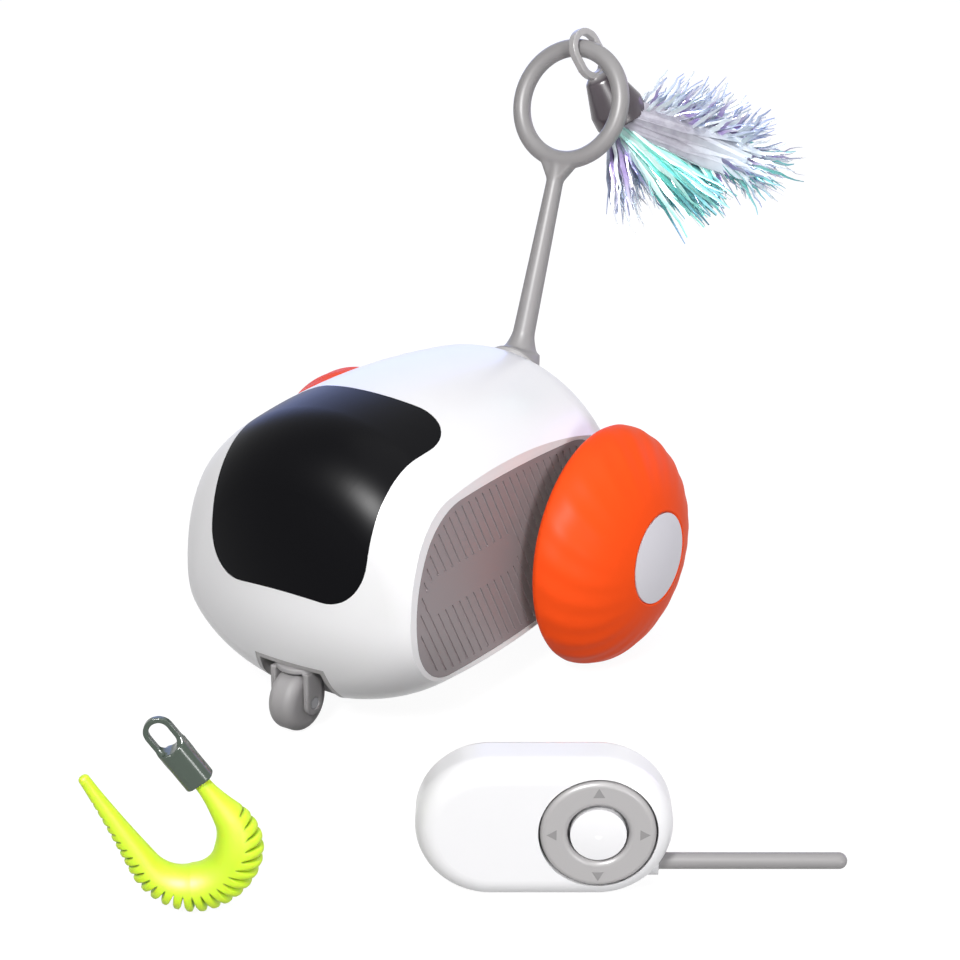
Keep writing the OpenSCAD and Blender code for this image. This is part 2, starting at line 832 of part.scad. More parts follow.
// Place at the share t of a strand that grows from the disc point q
function strand_at(q, t, seed) =
    let (out = unit(q + [1e-9, 0]), lean = tinsel_spread * norm(q) * (0.35 + 0.65 * t),
         length = tinsel_len * (1 - 0.22 * norm(q)) * (0.86 + 0.14 * sin(seed * 137.5)),
         way = [each (sin(lean) * out), cos(lean)])
    [each (tinsel_root_r * q), 0] + length * t * bent(way, tinsel_bend * (0.3 + 0.7 * t));

module tinsel() {
    n = tinsel_rows;
    starts = [for (j = [-n : n]) row_start(j)];
    base = [for (j = [-n : n], k = [0 : row_count(j) - 1]) [each (tinsel_root_r * lattice(j, k)), 0]];
    roots = [for (j = [-n : n - 1]) each upright(j)];
    flats = [for (j = [-n : n - 1]) each hanging(j)];
    // Three points half way up and one tip for each strand
    strands = [for (i = [0 : len(roots) - 1])
        let (q = [for (c = roots[i]) lattice(c[0], c[1])], mid = (q[0] + q[1] + q[2]) / 3,
             half = strand_at(mid, 0.5, i), girth = 0.9 * tinsel_root_r)
        each concat(
            [for (c = q) half + [each (girth * (c - mid)), 0]],
            [strand_at(mid, 1, i)])];
    ring = concat(
        [for (j = [-n : n]) starts[j + n]],
        [for (k = [1 : row_count(n) - 1]) starts[2 * n] + k],
        [for (j = [n - 1 : -1 : -n]) starts[j + n] + row_count(j) - 1],
        [for (k = [row_count(-n) - 2 : -1 : 1]) k]);
    first = len(base);
    back = first + len(strands);
    rim = [for (i = ring) base[i] - [0, 0, mouth_deep - 0.2]];
    walls = [for (i = [0 : len(roots) - 1])
        let (a = [for (c = roots[i]) starts[c[0] + n] + c[1]], m = first + 4 * i)
        for (s = [0 : 2])
            let (u = (s + 1) % 3)
            each [[a[u], a[s], m + s], [a[u], m + s, m + u], [m + u, m + s, m + 3]]];
    floor_faces = [for (f = flats) [for (i = [2 : -1 : 0]) starts[f[i][0] + n] + f[i][1]]];
    side_faces = [for (i = [0 : len(ring) - 1])
        let (u = (i + 1) % len(ring))
        each [[ring[i], back + i, ring[u]], [ring[u], back + i, back + u]]];
    color(AQUA) on_lure() translate([0, 0, clip_len - 0.1])
        polyhedron(concat(base, strands, rim),
            concat(walls, floor_faces, side_faces, [[for (i = [len(ring) - 1 : -1 : 0]) back + i]]));
}

// Wheels

function tube_faces(rings, sides) = concat(
    [[for (j = [sides - 1 : -1 : 0]) j]],
    [for (i = [0 : rings - 2], j = [0 : sides - 1])
        let (a = i * sides + j, b = i * sides + (j + 1) % sides)
        each [[a, b, b + sides], [a, b + sides, a + sides]]],
    [[for (j = [0 : sides - 1]) (rings - 1) * sides + j]]);

// Stations of the tyre as [x, radius, share of the flute depth, share of the twist]
tyre_steps = 8;
tyre_rings = concat(
    [for (t = [0, 0.3, 0.65])
        [back_x + t * (rim_x - back_x), wheel_r - back_round * (1 - sqrt(2 * t - t * t)), 0.3 * t, 0]],
    [for (i = [0 : tyre_steps])
        let (t = i / tyre_steps)
        [rim_x + dome_deep * sin(dome_arc * t), wheel_r * cos(dome_arc * t),
         i == tyre_steps ? 0 : 0.4 + 0.6 * sin(180 * min(1, 1.15 * t)), t]]);

module wheel_tyre(side) {
    sides = 5 * flutes;
    points = [for (s = tyre_rings, j = [0 : sides - 1])
        let (a = 360 * j / sides,
             r = s[1] - flute_d * s[2] * (0.5 - 0.5 * cos(flutes * a)),
             turn = a + flute_twist * s[3])
        [s[0], r * cos(turn), r * sin(turn)]];
    color(ORANGE) on_side(side) translate([0, 0, axle_z]) difference() {
        polyhedron(points, tube_faces(len(tyre_rings), sides));
        tyre_hollow();
        x_rod(cap_r + seat_gap, face_x - cap_t, face_x + 5);
        x_rod(boss_r + seat_gap, rim_x, face_x + 5);
    }
}

// Inside of the tyre: the hub's seat, then a dome one wall inside the outer one
module tyre_hollow() {
    deep = dome_deep - tyre_t;
    high = wheel_r - tyre_t - flute_d;
    first = acos(seat_r / high);
    last = asin(min(0.98, (dome_h - cap_t - tyre_t) / deep));
    curve = [for (i = [0 : 8])
        let (a = first + (last - first) * i / 8)
        [high * cos(a), rim_x + deep * sin(a)]];
    rotate([0, 90, 0]) rotate_extrude()
        polygon(concat([[0, back_x - 1], [seat_r, back_x - 1]], curve, [[0, curve[8].y]]));
}

// Web, rim, ribs and the boss that takes the axle
module wheel_hub(side) {
    r = seat_r - run_gap;
    boss_x = half_w + bush_flange_t + 0.2;
    color(NYLON) on_side(side) translate([0, 0, axle_z]) difference() {
        union() {
            x_rod(r, back_x + 0.2, back_x + 2.2);
            difference() {
                x_rod(r, back_x + 0.2, back_x + 5);
                x_rod(r - 2, back_x, back_x + 6);
            }
            x_rod(boss_r, boss_x, hub_end);
            for (a = [0 : 60 : 300]) rotate([a, 0, 0])
                translate([back_x + 2, boss_r - 1, -0.8]) cube([3, r - boss_r, 1.6]);
        }
        x_rod(axle_r, half_w, hub_end - 1.2);
    }
}

module hub_cap(side) {
    crown = (cap_r * cap_r + cap_crown * cap_crown) / (2 * cap_crown);
    base = face_x - cap_t;
    color(WHITE) on_side(side) translate([0, 0, axle_z]) intersection() {
        x_rod(cap_r, base, base + cap_t + cap_crown);
        translate([base + cap_t + cap_crown - crown, 0, 0]) rotate([0, 90, 0]) sphere(crown, $fn = 128);
    }
}

module axle(side) {
    color(STEEL) on_side(side) x_rod(axle_r, plate_x - plate_t - 1, hub_end - 1.3, axle_at);
}

// Outer bush through cover, wall and panel, and inner bush in the frame's plate
module axle_bushes(side) {
    color(BRASS) on_side(side) difference() {
        union() {
            x_rod(bush_r, cover_x, half_w + bush_flange_t, axle_at);
            x_rod(bush_flange_r, half_w + 0.05, half_w + bush_flange_t, axle_at);
            x_rod(bush_r, plate_x - plate_t - inner_flange_t, plate_x, axle_at);
            x_rod(bush_flange_r, plate_x - plate_t - inner_flange_t, plate_x - plate_t - 0.05, axle_at);
        }
        x_rod(axle_r + run_gap, 0, 2 * half_w, axle_at);
    }
}

// Gears

// Involute function in degrees, for the roll angle a
function involute(a) = tan(a) * 180 / PI - a;

gear_angle = 25;
gear_slack = 0.06;

// Half the angle that a tooth spans at radius r
function tooth_half(teeth, r) =
    let (rp = gear_m * teeth / 2, rb = rp * cos(gear_angle), roll = acos(min(1, rb / r)))
    90 / teeth - gear_slack / rp * 180 / PI + involute(gear_angle) - involute(roll);

// Involute gear outline with a tooth centred on the first axis
module gear_outline(teeth) {
    rp = gear_m * teeth / 2;
    tip = rp + 0.9 * gear_m;
    root = rp - 1.15 * gear_m;
    low = max(root + 0.02, rp * cos(gear_angle));
    steps = [for (i = [0 : 3]) low + (tip - low) * i / 3];
    points = [for (t = [0 : teeth - 1])
        let (at = 360 * t / teeth)
        each concat(
            [let (h = tooth_half(teeth, low)) root * [cos(at - h), sin(at - h)]],
            [for (r = steps) let (h = tooth_half(teeth, r)) r * [cos(at - h), sin(at - h)]],
            [for (i = [3 : -1 : 0]) let (r = steps[i], h = tooth_half(teeth, r)) r * [cos(at + h), sin(at + h)]],
            [let (h = tooth_half(teeth, low)) root * [cos(at + h), sin(at + h)]])];
    polygon(points);
}

// Gear at a (y, z) place from x0 to x1, turned by an angle
module gear(teeth, at, turn, x0, x1) {
    x_plate(x0, x1) translate(at) rotate(turn) gear_outline(teeth);
}

first_x = plate_x + gear_gap;
second_x = cover_x - gear_gap - gear_w;

module output_gear(side) {
    color(NYLON) on_side(side) difference() {
        union() {
            gear(teeth_big, axle_at, toward(axle_at, idler_at), second_x, second_x + gear_w);
            x_rod(axle_r + 0.9, plate_x + 0.1, cover_x - 0.1, axle_at);
        }
        x_rod(axle_r, 0, 2 * half_w, axle_at);
    }
}

module idler_gear(side) {
    half_gap = 180 / teeth_small;
    color(NYLON) on_side(side) difference() {
        union() {
            gear(teeth_big, idler_at, toward(idler_at, motor_at), first_x, first_x + gear_w);
            gear(teeth_small, idler_at, toward(idler_at, axle_at) + half_gap,
                first_x + gear_w - 0.2, second_x + gear_w);
            x_rod(2.6, plate_x + 0.1, cover_x - 0.1, idler_at);
        }
        x_rod(idler_pin_r + run_gap, 0, 2 * half_w, idler_at);
    }
}

module idler_pin(side) {
    color(STEEL) on_side(side) x_rod(idler_pin_r, plate_x - plate_t, cover_x + cover_t, idler_at);
}

// Motor pinion on its steel shaft
module motor_pinion(side) {
    half_gap = 180 / teeth_small;
    color(BRASS) on_side(side) {
        gear(teeth_small, motor_at, toward(motor_at, idler_at) + half_gap, first_x, first_x + gear_w);
        x_rod(motor_shaft_r, plate_x - plate_t - motor_len + 4, first_x + gear_w + 0.6, motor_at);
    }
}

// Flat-sided can, its front boss and its plastic end bell
module motor(side) {
    x1 = plate_x - plate_t;
    color(STEEL) on_side(side) difference() {
        union() {
            intersection() {
                x_rod(motor_r, x1 - motor_len + 2, x1, motor_at);
                translate([0, motor_at.x, motor_at.y]) cube([200, 40, 1.55 * motor_r], center = true);
            }
            x_rod(motor_r * 0.7, x1 - motor_len, x1 - motor_len + 2, motor_at);
            x_rod(motor_boss_r, x1, x1 + plate_t, motor_at);
        }
        x_rod(motor_shaft_r + run_gap, x1 - motor_len + 3.9, x1 + plate_t + 1, motor_at);
    }
}

// Outline of the gearbox plates through the four pillars
module gearbox_outline() {
    polygon(rounded_points(pillars, frame_edge));
}

// Plate with pillars, a foot on the pan's posts and a shelf for the main board
module gearbox_frame(side) {
    x0 = plate_x - plate_t;
    color(SOFT_GREY) on_side(side) difference() {
        union() {
            x_plate(x0, plate_x) {
                gearbox_outline();
                translate([frame_y[0], foot_z]) square([frame_y[1] - frame_y[0], 12]);
                translate([board_y - 10, axle_z]) square([20, board_z - axle_z]);
            }
            for (p = pillars) x_rod(pillar_r, x0, cover_x, p);
            translate([post_x - 4, frame_y[0], foot_z]) cube([x0 + 0.5 - post_x + 4, frame_y[1] - frame_y[0], 2]);
            translate([post_x, board_y - 10, board_z - 2]) cube([x0 + 0.5 - post_x, 20, 2]);
            for (y = [-6, 6]) translate([x0, board_y + y, board_z - 1]) cylinder(r = peg_r, h = 3.6);
        }
        x_rod(bush_r + run_gap, 0, 2 * half_w, axle_at);
        x_rod(idler_pin_r, 0, 2 * half_w, idler_at);
        x_rod(motor_boss_r + seat_gap, 0, 2 * half_w, motor_at);
        for (y = post_y) translate([post_x, y, 0]) cylinder(r = 1, h = foot_z + 5);
    }
}

module gearbox_cover(side) {
    color(SOFT_GREY) on_side(side) difference() {
        x_plate(cover_x, cover_x + cover_t) gearbox_outline();
        x_rod(bush_r + seat_gap, 0, 2 * half_w, axle_at);
        x_rod(idler_pin_r, 0, 2 * half_w, idler_at);
        x_rod(motor_shaft_r + 1.5, 0, 2 * half_w, motor_at);
    }
}

// Battery, boards, port and switch

module battery() {
    color("royalblue") {
        x_rod(cell_r, -cell_len / 2, cell_len / 2, [cell_y, cell_z]);
        x_rod(cell_r * 0.4, cell_len / 2, cell_len / 2 + 0.8, [cell_y, cell_z]);
    }
}

// Board with its chips and connectors, on the pegs of both frames
module main_board() {
    x0 = plate_x - plate_t;
    color(BOARD_GREEN) translate([0, board_y, board_z]) difference() {
        union() {
            translate([-board_size.x / 2, -board_size.y / 2, 0]) cube(board_size);
            for (c = [[-10, 2, 9, 9], [6, 3, 6, 5], [14, -6, 8, 5], [-18, -7, 5, 8]])
                translate([c[0], c[1], 1]) cube([c[2], c[3], 2.4]);
        }
        for (side = [1, -1], y = [-6, 6]) translate([side * x0, y, -1]) cylinder(r = peg_r + seat_gap, h = 4);
    }
}

// Round board on the window boss with the receiver's dome behind the visor
module receiver_board() {
    color(BOARD_GREEN) on_visor() {
        translate([0, 0, -window_depth - 1.6]) cylinder(r = window_r + window_boss, h = 1.6);
        translate([0, 0, -window_depth - 0.1]) cylinder(r = 2.5, h = 3.5);
        translate([0, 0, -window_depth + 3.4]) sphere(2.5);
    }
}

port_w = 9;
port_h = 3.3;
port_z = axle_z - 1.5;
port_y = mid_y + tail_len;

// Slot along Y from y0 to y1, counted from the tail's end
module port_slot(w, h, y0, y1) {
    translate([0, port_y + y1, port_z]) rotate([90, 0, 0]) linear_extrude(y1 - y0) stadium(w, h / 2);
}

// Charging socket: steel shell with its tongue and a flange behind the boss
module charge_port() {
    color(STEEL) {
        difference() {
            port_slot(port_w, port_h, -10.2, -0.6);
            port_slot(port_w - 0.7, port_h - 0.7, -8, 1);
        }
        translate([-3.2, port_y - 8.5, port_z - 0.35]) cube([6.4, 6, 0.7]);
        translate([-6, port_y - 10.5, port_z - 2.6]) cube([12, 1.45, 5.2]);
    }
}

switch_x = 10;
switch_y = -14;
switch_z = 10;
switch_travel = 3;
slider_w = 2.6;

module switch_slot() {
    translate([switch_x - slider_w / 2 - 0.2, switch_y - 3.2, 0]) cube([slider_w + 0.4, 6.4, 20]);
}

module power_switch() {
    color(STEEL) difference() {
        translate([switch_x - 4, switch_y - 5, switch_z]) cube([8, 10, 4.5]);
        translate([switch_x - slider_w / 2 - 0.2, switch_y - 3.2, switch_z - 1])
            cube([slider_w + 0.4, 6.4, 4]);
    }
}

// Slider stem from the switch down into the belly's slot
module power_slider() {
    low = waist_z - belly_depth + 2.2;
    color(BLACK) translate([switch_x - slider_w / 2, switch_y - 3, low])
        cube([slider_w, slider_w, switch_z + 2.9 - low]);
}

// Handset

// Pill with round ends along x and rounded edges
module pill(length, r, z0, z1, rt, rl) {
    run = length - 2 * r;
    for (side = [1, -1]) translate([side * run / 2, 0, 0]) rotate(side > 0 ? -90 : 90)
        rotate_extrude(angle = 180) pill_section(r, z0, z1, rt, rl);
    translate([-run / 2, 0, 0]) rotate([90, 0, 90]) linear_extrude(run) {
        pill_section(r, z0, z1, rt, rl);
        mirror([1, 0]) pill_section(r, z0, z1, rt, rl);
    }
}

// Right half of the pill's cross section
module pill_section(r, z0, z1, rt, rl) {
    translate([0, z0]) square([r - max(rt, rl), z1 - z0]);
    translate([0, z0 + rl]) square([r, z1 - z0 - rl - rt]);
    if (rt > rl) translate([0, z0]) square([r - rl, z1 - z0 - rt]);
    translate([r - rt, z1 - rt]) circle(rt);
    translate([r - rl, z0 + rl]) circle(rl);
}

module handset_form(inset = 0) {
    low_round = max(0.6, hs_low_round - inset);
    pill(hs_len - 2 * inset, hs_r - inset, inset, hs_h - inset, hs_top_round - inset, low_round);
}

module at_bosses() {
    for (side = [1, -1]) translate([hs_boss_at.x, side * hs_boss_at.y, 0]) children();
}

// Rod along the whip's axis from x0 to x1
module whip_rod(r, x0, x1) {
    x_rod(r, x0, x1, [whip_y, hs_split]);
}

module handset_top() {
    color(WHITE) on_handset() difference() {
        union() {
            difference() {
                handset_form();
                handset_form(hs_wall);
            }
            at_bosses() translate([0, 0, hs_split]) cylinder(r = 2.2, h = hs_h - hs_wall / 2 - hs_split);
        }
        translate([0, 0, hs_split - 50]) cube([200, 200, 100], center = true);
        translate([pad_x, 0, 0]) cylinder(r = pad_hole_r, h = 30);
        at_bosses() cylinder(r = 0.9, h = hs_h - 2.5);
        whip_rod(grommet_r + seat_gap, whip_end - whip_sink - 1, whip_end + 5);
    }
}

module handset_base() {
    color(WHITE) on_handset() difference() {
        union() {
            difference() {
                handset_form();
                handset_form(hs_wall);
            }
            at_bosses() cylinder(r = hs_boss_r, h = hs_split);
            for (p = hs_posts) translate([p.x, p.y, hs_wall / 2])
                cylinder(r = hs_post_r, h = hs_board_z - hs_wall / 2);
        }
        translate([0, 0, hs_split + 50]) cube([200, 200, 100], center = true);
        translate([door_x, 0, -1]) cylinder(r = door_r + run_gap, h = hs_wall + 1.2);
        translate([door_x, 0, -1]) rotate(60) door_lugs(0.2, 0, hs_wall + 1.2);
        at_bosses() {
            translate([0, 0, -1]) cylinder(r = 1.9, h = 4);
            cylinder(r = 1, h = hs_split + 1);
        }
        whip_rod(grommet_r + seat_gap, whip_end - whip_sink - 1, whip_end + 5);
    }
}

// Two bayonet lugs, from z0 to z1
module door_lugs(grow, z0, z1) {
    reach = door_r + door_lug + grow;
    half = 3 + grow;
    translate([0, 0, z0]) intersection() {
        cylinder(r = reach, h = z1 - z0);
        translate([-reach, -half, 0]) cube([2 * reach, 2 * half, z1 - z0]);
    }
}

// Coin cell door with a coin slot and bayonet lugs over the base's wall
module battery_door() {
    color(WHITE) on_handset() translate([door_x, 0, 0]) difference() {
        union() {
            cylinder(r = door_r, h = door_t);
            difference() {
                cylinder(r = door_r, h = hs_wall + 0.9);
                translate([0, 0, -1]) cylinder(r = coin_r + 0.4, h = 10);
            }
            difference() {
                door_lugs(0, hs_wall + 0.1, hs_wall + 0.9);
                cylinder(r = coin_r + 0.4, h = 10);
            }
        }
        translate([-5, -0.7, -1]) cube([10, 1.4, 1.7]);
    }
}

module coin_cell() {
    color(STEEL) on_handset() translate([door_x, 0, door_t]) {
        cylinder(r = coin_r, h = coin_t - 0.4);
        cylinder(r = coin_r - 1.2, h = coin_t);
    }
}

module cell_contact() {
    color(BRASS) on_handset() translate([door_x - 7, -2.5, door_t + coin_t]) cube([14, 5, contact_t]);
}

module handset_board() {
    color(BOARD_GREEN) on_handset() translate([(hs_board_x[0] + hs_board_x[1]) / 2, 0, hs_board_z])
        linear_extrude(hs_board_t) stadium(hs_board_x[1] - hs_board_x[0], hs_board_r);
}

// Silicone pad on the board with one dome under each direction and one under the button
module key_pad() {
    z = hs_board_z + hs_board_t;
    color(SOFT_GREY) on_handset() translate([pad_x, 0, z]) intersection() {
        union() {
            cylinder(r = pad_r - 1.2, h = 1);
            for (a = [0 : 90 : 270]) rotate(a) translate([pad_r - 3.4, 0, 0])
                cylinder(r1 = 1.8, r2 = 1.2, h = pad_pivot_z - 1.6 - z);
            cylinder(r1 = 3, r2 = 2, h = pad_pivot_z - 2.4 - z);
        }
        translate([-pad_r, -pad_r, 0]) cube([hs_board_x[1] - pad_x + pad_r, 2 * pad_r, 10]);
    }
}

// Plate that carries the direction ring and rocks across the handset
module rocker_plate() {
    color(SOFT_GREY) on_handset() translate([pad_x, 0, pad_pivot_z - 0.7]) difference() {
        cylinder(r = pad_r - 1.55, h = 1);
        translate([0, 0, -1]) cylinder(r = button_r + 1.9, h = 3);
    }
}

// Direction ring with a rounded face and a skirt under the top shell
module direction_ring() {
    round_r = 1.2;
    low = pad_pivot_z + 1.1;
    color(SOFT_GREY) on_handset() translate([pad_x, 0, 0]) rotate_extrude($fn = 96) {
        translate([pad_bore_r + round_r, low]) square([pad_r - pad_bore_r - 2 * round_r, pad_top - low]);
        translate([pad_bore_r, low]) square([pad_r - pad_bore_r, pad_top - low - round_r]);
        for (r = [pad_bore_r + round_r, pad_r - round_r]) translate([r, pad_top - round_r]) circle(round_r);
        translate([pad_r - pad_wall, pad_skirt_z]) square([pad_wall, low + 0.5 - pad_skirt_z]);
        translate([pad_r - pad_wall, pad_skirt_z]) square([pad_skirt_r - pad_r + pad_wall, 1]);
    }
}

// Domed button with a foot flange that keeps it under the ring
module centre_button() {
    top = pad_top + 0.4;
    crown = 40;
    color(WHITE) on_handset() translate([pad_x, 0, 0]) {
        intersection() {
            translate([0, 0, pad_pivot_z - 1.5]) cylinder(r = button_r, h = 20);
            translate([0, 0, top - crown]) sphere(crown, $fn = 160);
        }
        translate([0, 0, pad_pivot_z - 1.5]) cylinder(r = button_r + 1.6, h = 0.8);
    }
}

module whip_socket() {
    color(SOFT_GREY) on_handset() difference() {
        whip_rod(grommet_r, whip_end - whip_sink, whip_end + 1);
        whip_rod(whip_r + 0.02, whip_end - whip_sink + 0.8, whip_end + 5);
    }
}

module whip() {
    tip = whip_end + whip_len - whip_r;
    color(SOFT_GREY) on_handset() {
        whip_rod(whip_r, whip_end - whip_sink + 0.9, tip);
        translate([tip, whip_y, hs_split]) rotate([0, 90, 0]) sphere(whip_r);
    }
}

module handset_screws() {
    color(STEEL) on_handset() at_bosses() {
        translate([0, 0, 1.6]) cylinder(r = 1.8, h = 1.4);
        translate([0, 0, 2]) cylinder(r = 0.88, h = hs_h - 5);
    }
}

// Worm lure

// Centre line at the length s from the clip: the bend, then a straight tail
function worm_at(s) =
    s < 0 ? worm_at(0) - s * [-sin(worm_start), cos(worm_start)]
    : s < worm_arc
        ? let (a = worm_start - s / worm_bend_r * 180 / PI) worm_bend_r * [cos(a), sin(a)]
        : let (a = worm_start - worm_sweep)
            worm_bend_r * [cos(a), sin(a)] + (s - worm_arc) * [sin(a), -cos(a)];

function worm_way(s) =
    let (a = worm_start - min(max(s, 0), worm_arc) / worm_bend_r * 180 / PI) [sin(a), -cos(a)];

// Radius along the worm without its slots: the neck swells to full girth, then thins to the tip
function worm_girth(s) =
    s < worm_full[0]
        ? worm_neck_r + (worm_r - worm_neck_r) * (1 - cos(180 * (s + worm_neck) / (worm_full[0] + worm_neck))) / 2
        : worm_tip_r + (worm_r - worm_tip_r)
            * pow(1 - max(0, s - worm_full[1]) / (worm_len - worm_full[1]), 1.4);

// Rings along the worm: a plug in the clip, a smooth neck, then three to a rib, as [length, radius, slot]
worm_stations = concat(
    [[-worm_neck - worm_plug, worm_neck_r, 0], [-worm_neck, worm_neck_r, 0]],
    [for (i = [1 : 3]) let (s = -worm_neck * (1 - i / 4)) [s, worm_girth(s), 0]],
    [for (i = [0 : worm_rings - 1])
        let (s = worm_len * (i + 0.25) / worm_rings)
        [s, worm_girth(s), i % 3 == 0 ? worm_slot : 0]],
    [[worm_len + 0.6, worm_tip_r * 0.4, 0]]);

// Worm with slots on the outer side of its bend
module worm_tail() {
    points = [for (w = worm_stations, j = [0 : worm_sides - 1])
        let (p = worm_at(w[0]), d = worm_way(w[0]), a = 360 * (j + 0.5) / worm_sides,
             r = w[1] * (1 - w[2] * max(0, cos(a))))
        [each (p + r * cos(a) * [-d.y, d.x]), r * sin(a)]];
    color(NEON) on_worm() polyhedron(points, tube_faces(len(worm_stations), worm_sides));
}

// Clip that grips the worm's plug and ends in an oval eye
module worm_clip() {
    d = worm_way(0);
    place = worm_at(-worm_neck);
    color(CLIP_DARK) on_worm() on_frame([each place, 0], [d.y, -d.x, 0], [-d.x, -d.y, 0], [0, 0, 1])
        difference() {
            union() {
                rotate([-90, 0, 0]) linear_extrude(worm_grip) round_rect(worm_clip_w, worm_clip_t, 2.2);
                translate([0, 0, -worm_clip_t / 2 + 1.3]) linear_extrude(worm_clip_t - 2.6)
                    translate([0, worm_clip_len / 2 + 2]) rotate(90)
                        stadium(worm_clip_len - 4, worm_clip_w / 2);
            }
            rotate([-90, 0, 0]) translate([0, 0, -1])
                cylinder(r = worm_neck_r + seat_gap, h = worm_plug + 1.2);
            translate([0, worm_clip_len - 1.2 - worm_eye_len / 2, -20]) linear_extrude(40) rotate(90)
                stadium(worm_eye_len, worm_eye_r);
        }
}

main_shell();
belly_pan();
visor();
side_panel(1);  // side_panel_left
side_panel(-1);  // side_panel_right
caster_well();
caster_fork();
caster_axle();
caster_roller();
tail_socket();
tail_mast();
lure_clip();
tinsel();
wheel_tyre(1);  // wheel_tyre_left
wheel_tyre(-1);  // wheel_tyre_right
wheel_hub(1);  // wheel_hub_left
wheel_hub(-1);  // wheel_hub_right
hub_cap(1);  // hub_cap_left
hub_cap(-1);  // hub_cap_right
axle(1);  // axle_left
axle(-1);  // axle_right
axle_bushes(1);  // axle_bushes_left
axle_bushes(-1);  // axle_bushes_right
output_gear(1);  // output_gear_left
output_gear(-1);  // output_gear_right
idler_gear(1);  // idler_gear_left
idler_gear(-1);  // idler_gear_right
idler_pin(1);  // idler_pin_left
idler_pin(-1);  // idler_pin_right
motor(1);  // motor_left
motor(-1);  // motor_right
motor_pinion(1);  // motor_pinion_left
motor_pinion(-1);  // motor_pinion_right
gearbox_frame(1);  // gearbox_frame_left
gearbox_frame(-1);  // gearbox_frame_right
gearbox_cover(1);  // gearbox_cover_left
gearbox_cover(-1);  // gearbox_cover_right
battery();
main_board();
receiver_board();
charge_port();
power_switch();
power_slider();
belly_screws();
handset_top();
handset_base();
direction_ring();
rocker_plate();
centre_button();
key_pad();
handset_board();
coin_cell();
cell_contact();
battery_door();
whip_socket();
whip();
handset_screws();
worm_clip();
worm_tail();
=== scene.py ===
"""Dresses the remote control cat toy car around its fixed frame: finishes, soft pieces and stage."""

import json
import math
import random

import bpy
from bpy.props import FloatProperty, FloatVectorProperty, IntProperty, PointerProperty
from bpy.types import Operator, Panel, PropertyGroup
from mathutils import Matrix, Vector


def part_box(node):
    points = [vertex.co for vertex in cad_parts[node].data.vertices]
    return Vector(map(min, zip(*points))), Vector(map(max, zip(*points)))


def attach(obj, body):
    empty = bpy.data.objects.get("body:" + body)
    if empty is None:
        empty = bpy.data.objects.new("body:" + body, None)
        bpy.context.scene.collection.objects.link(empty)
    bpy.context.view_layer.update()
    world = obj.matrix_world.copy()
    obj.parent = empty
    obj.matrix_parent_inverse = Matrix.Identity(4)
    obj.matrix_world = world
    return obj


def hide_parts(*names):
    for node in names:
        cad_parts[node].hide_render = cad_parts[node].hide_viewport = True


bl_info = {
    "name": "Cat toy car",
    "version": (1, 0, 0),
    "blender": (4, 5, 0),
    "location": "View3D > Sidebar > Cat toy",
    "description": "Finishes, soft pieces and stage of a remote control cat toy car",
    "category": "Object",
}

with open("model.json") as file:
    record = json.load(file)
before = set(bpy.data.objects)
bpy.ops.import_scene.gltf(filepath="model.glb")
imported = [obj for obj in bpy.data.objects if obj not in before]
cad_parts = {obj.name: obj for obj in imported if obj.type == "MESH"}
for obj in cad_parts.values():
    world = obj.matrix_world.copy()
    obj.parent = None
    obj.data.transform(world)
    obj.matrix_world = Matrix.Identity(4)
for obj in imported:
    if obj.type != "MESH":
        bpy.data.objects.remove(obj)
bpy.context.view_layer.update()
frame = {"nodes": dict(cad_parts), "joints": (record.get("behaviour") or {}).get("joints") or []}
NODES = frame["nodes"]
JOINTS = {joint["name"]: joint for joint in frame["joints"]}
SIDES = ("left", "right")
MM = 0.001
UP = Vector((0, 0, 1))
WHITE = (1.0, 1.0, 1.0)


def joint_place(name):
    return Vector(JOINTS[name]["pos_m"])


def joint_axis(name):
    return Vector(JOINTS[name]["axis"]).normalized()


# Settings that a user would change


def colour(name, text, default):
    return FloatVectorProperty(name=name, description=text, subtype="COLOR", min=0, max=1,
                               default=default)


def point(name, text, default):
    return FloatVectorProperty(name=name, description=text, subtype="TRANSLATION", default=default)


def length(name, text, default):
    return FloatProperty(name=name, description=text, unit="LENGTH", default=default, min=0, precision=5)


def angle(name, text, degrees):
    return FloatProperty(name=name, description=text, subtype="ANGLE", default=math.radians(degrees))


def watts(name, text, default):
    return FloatProperty(name=name, description=text + ", in watts", default=default, min=0)


def count(name, text, default):
    return IntProperty(name=name, description=text, default=default, min=1)


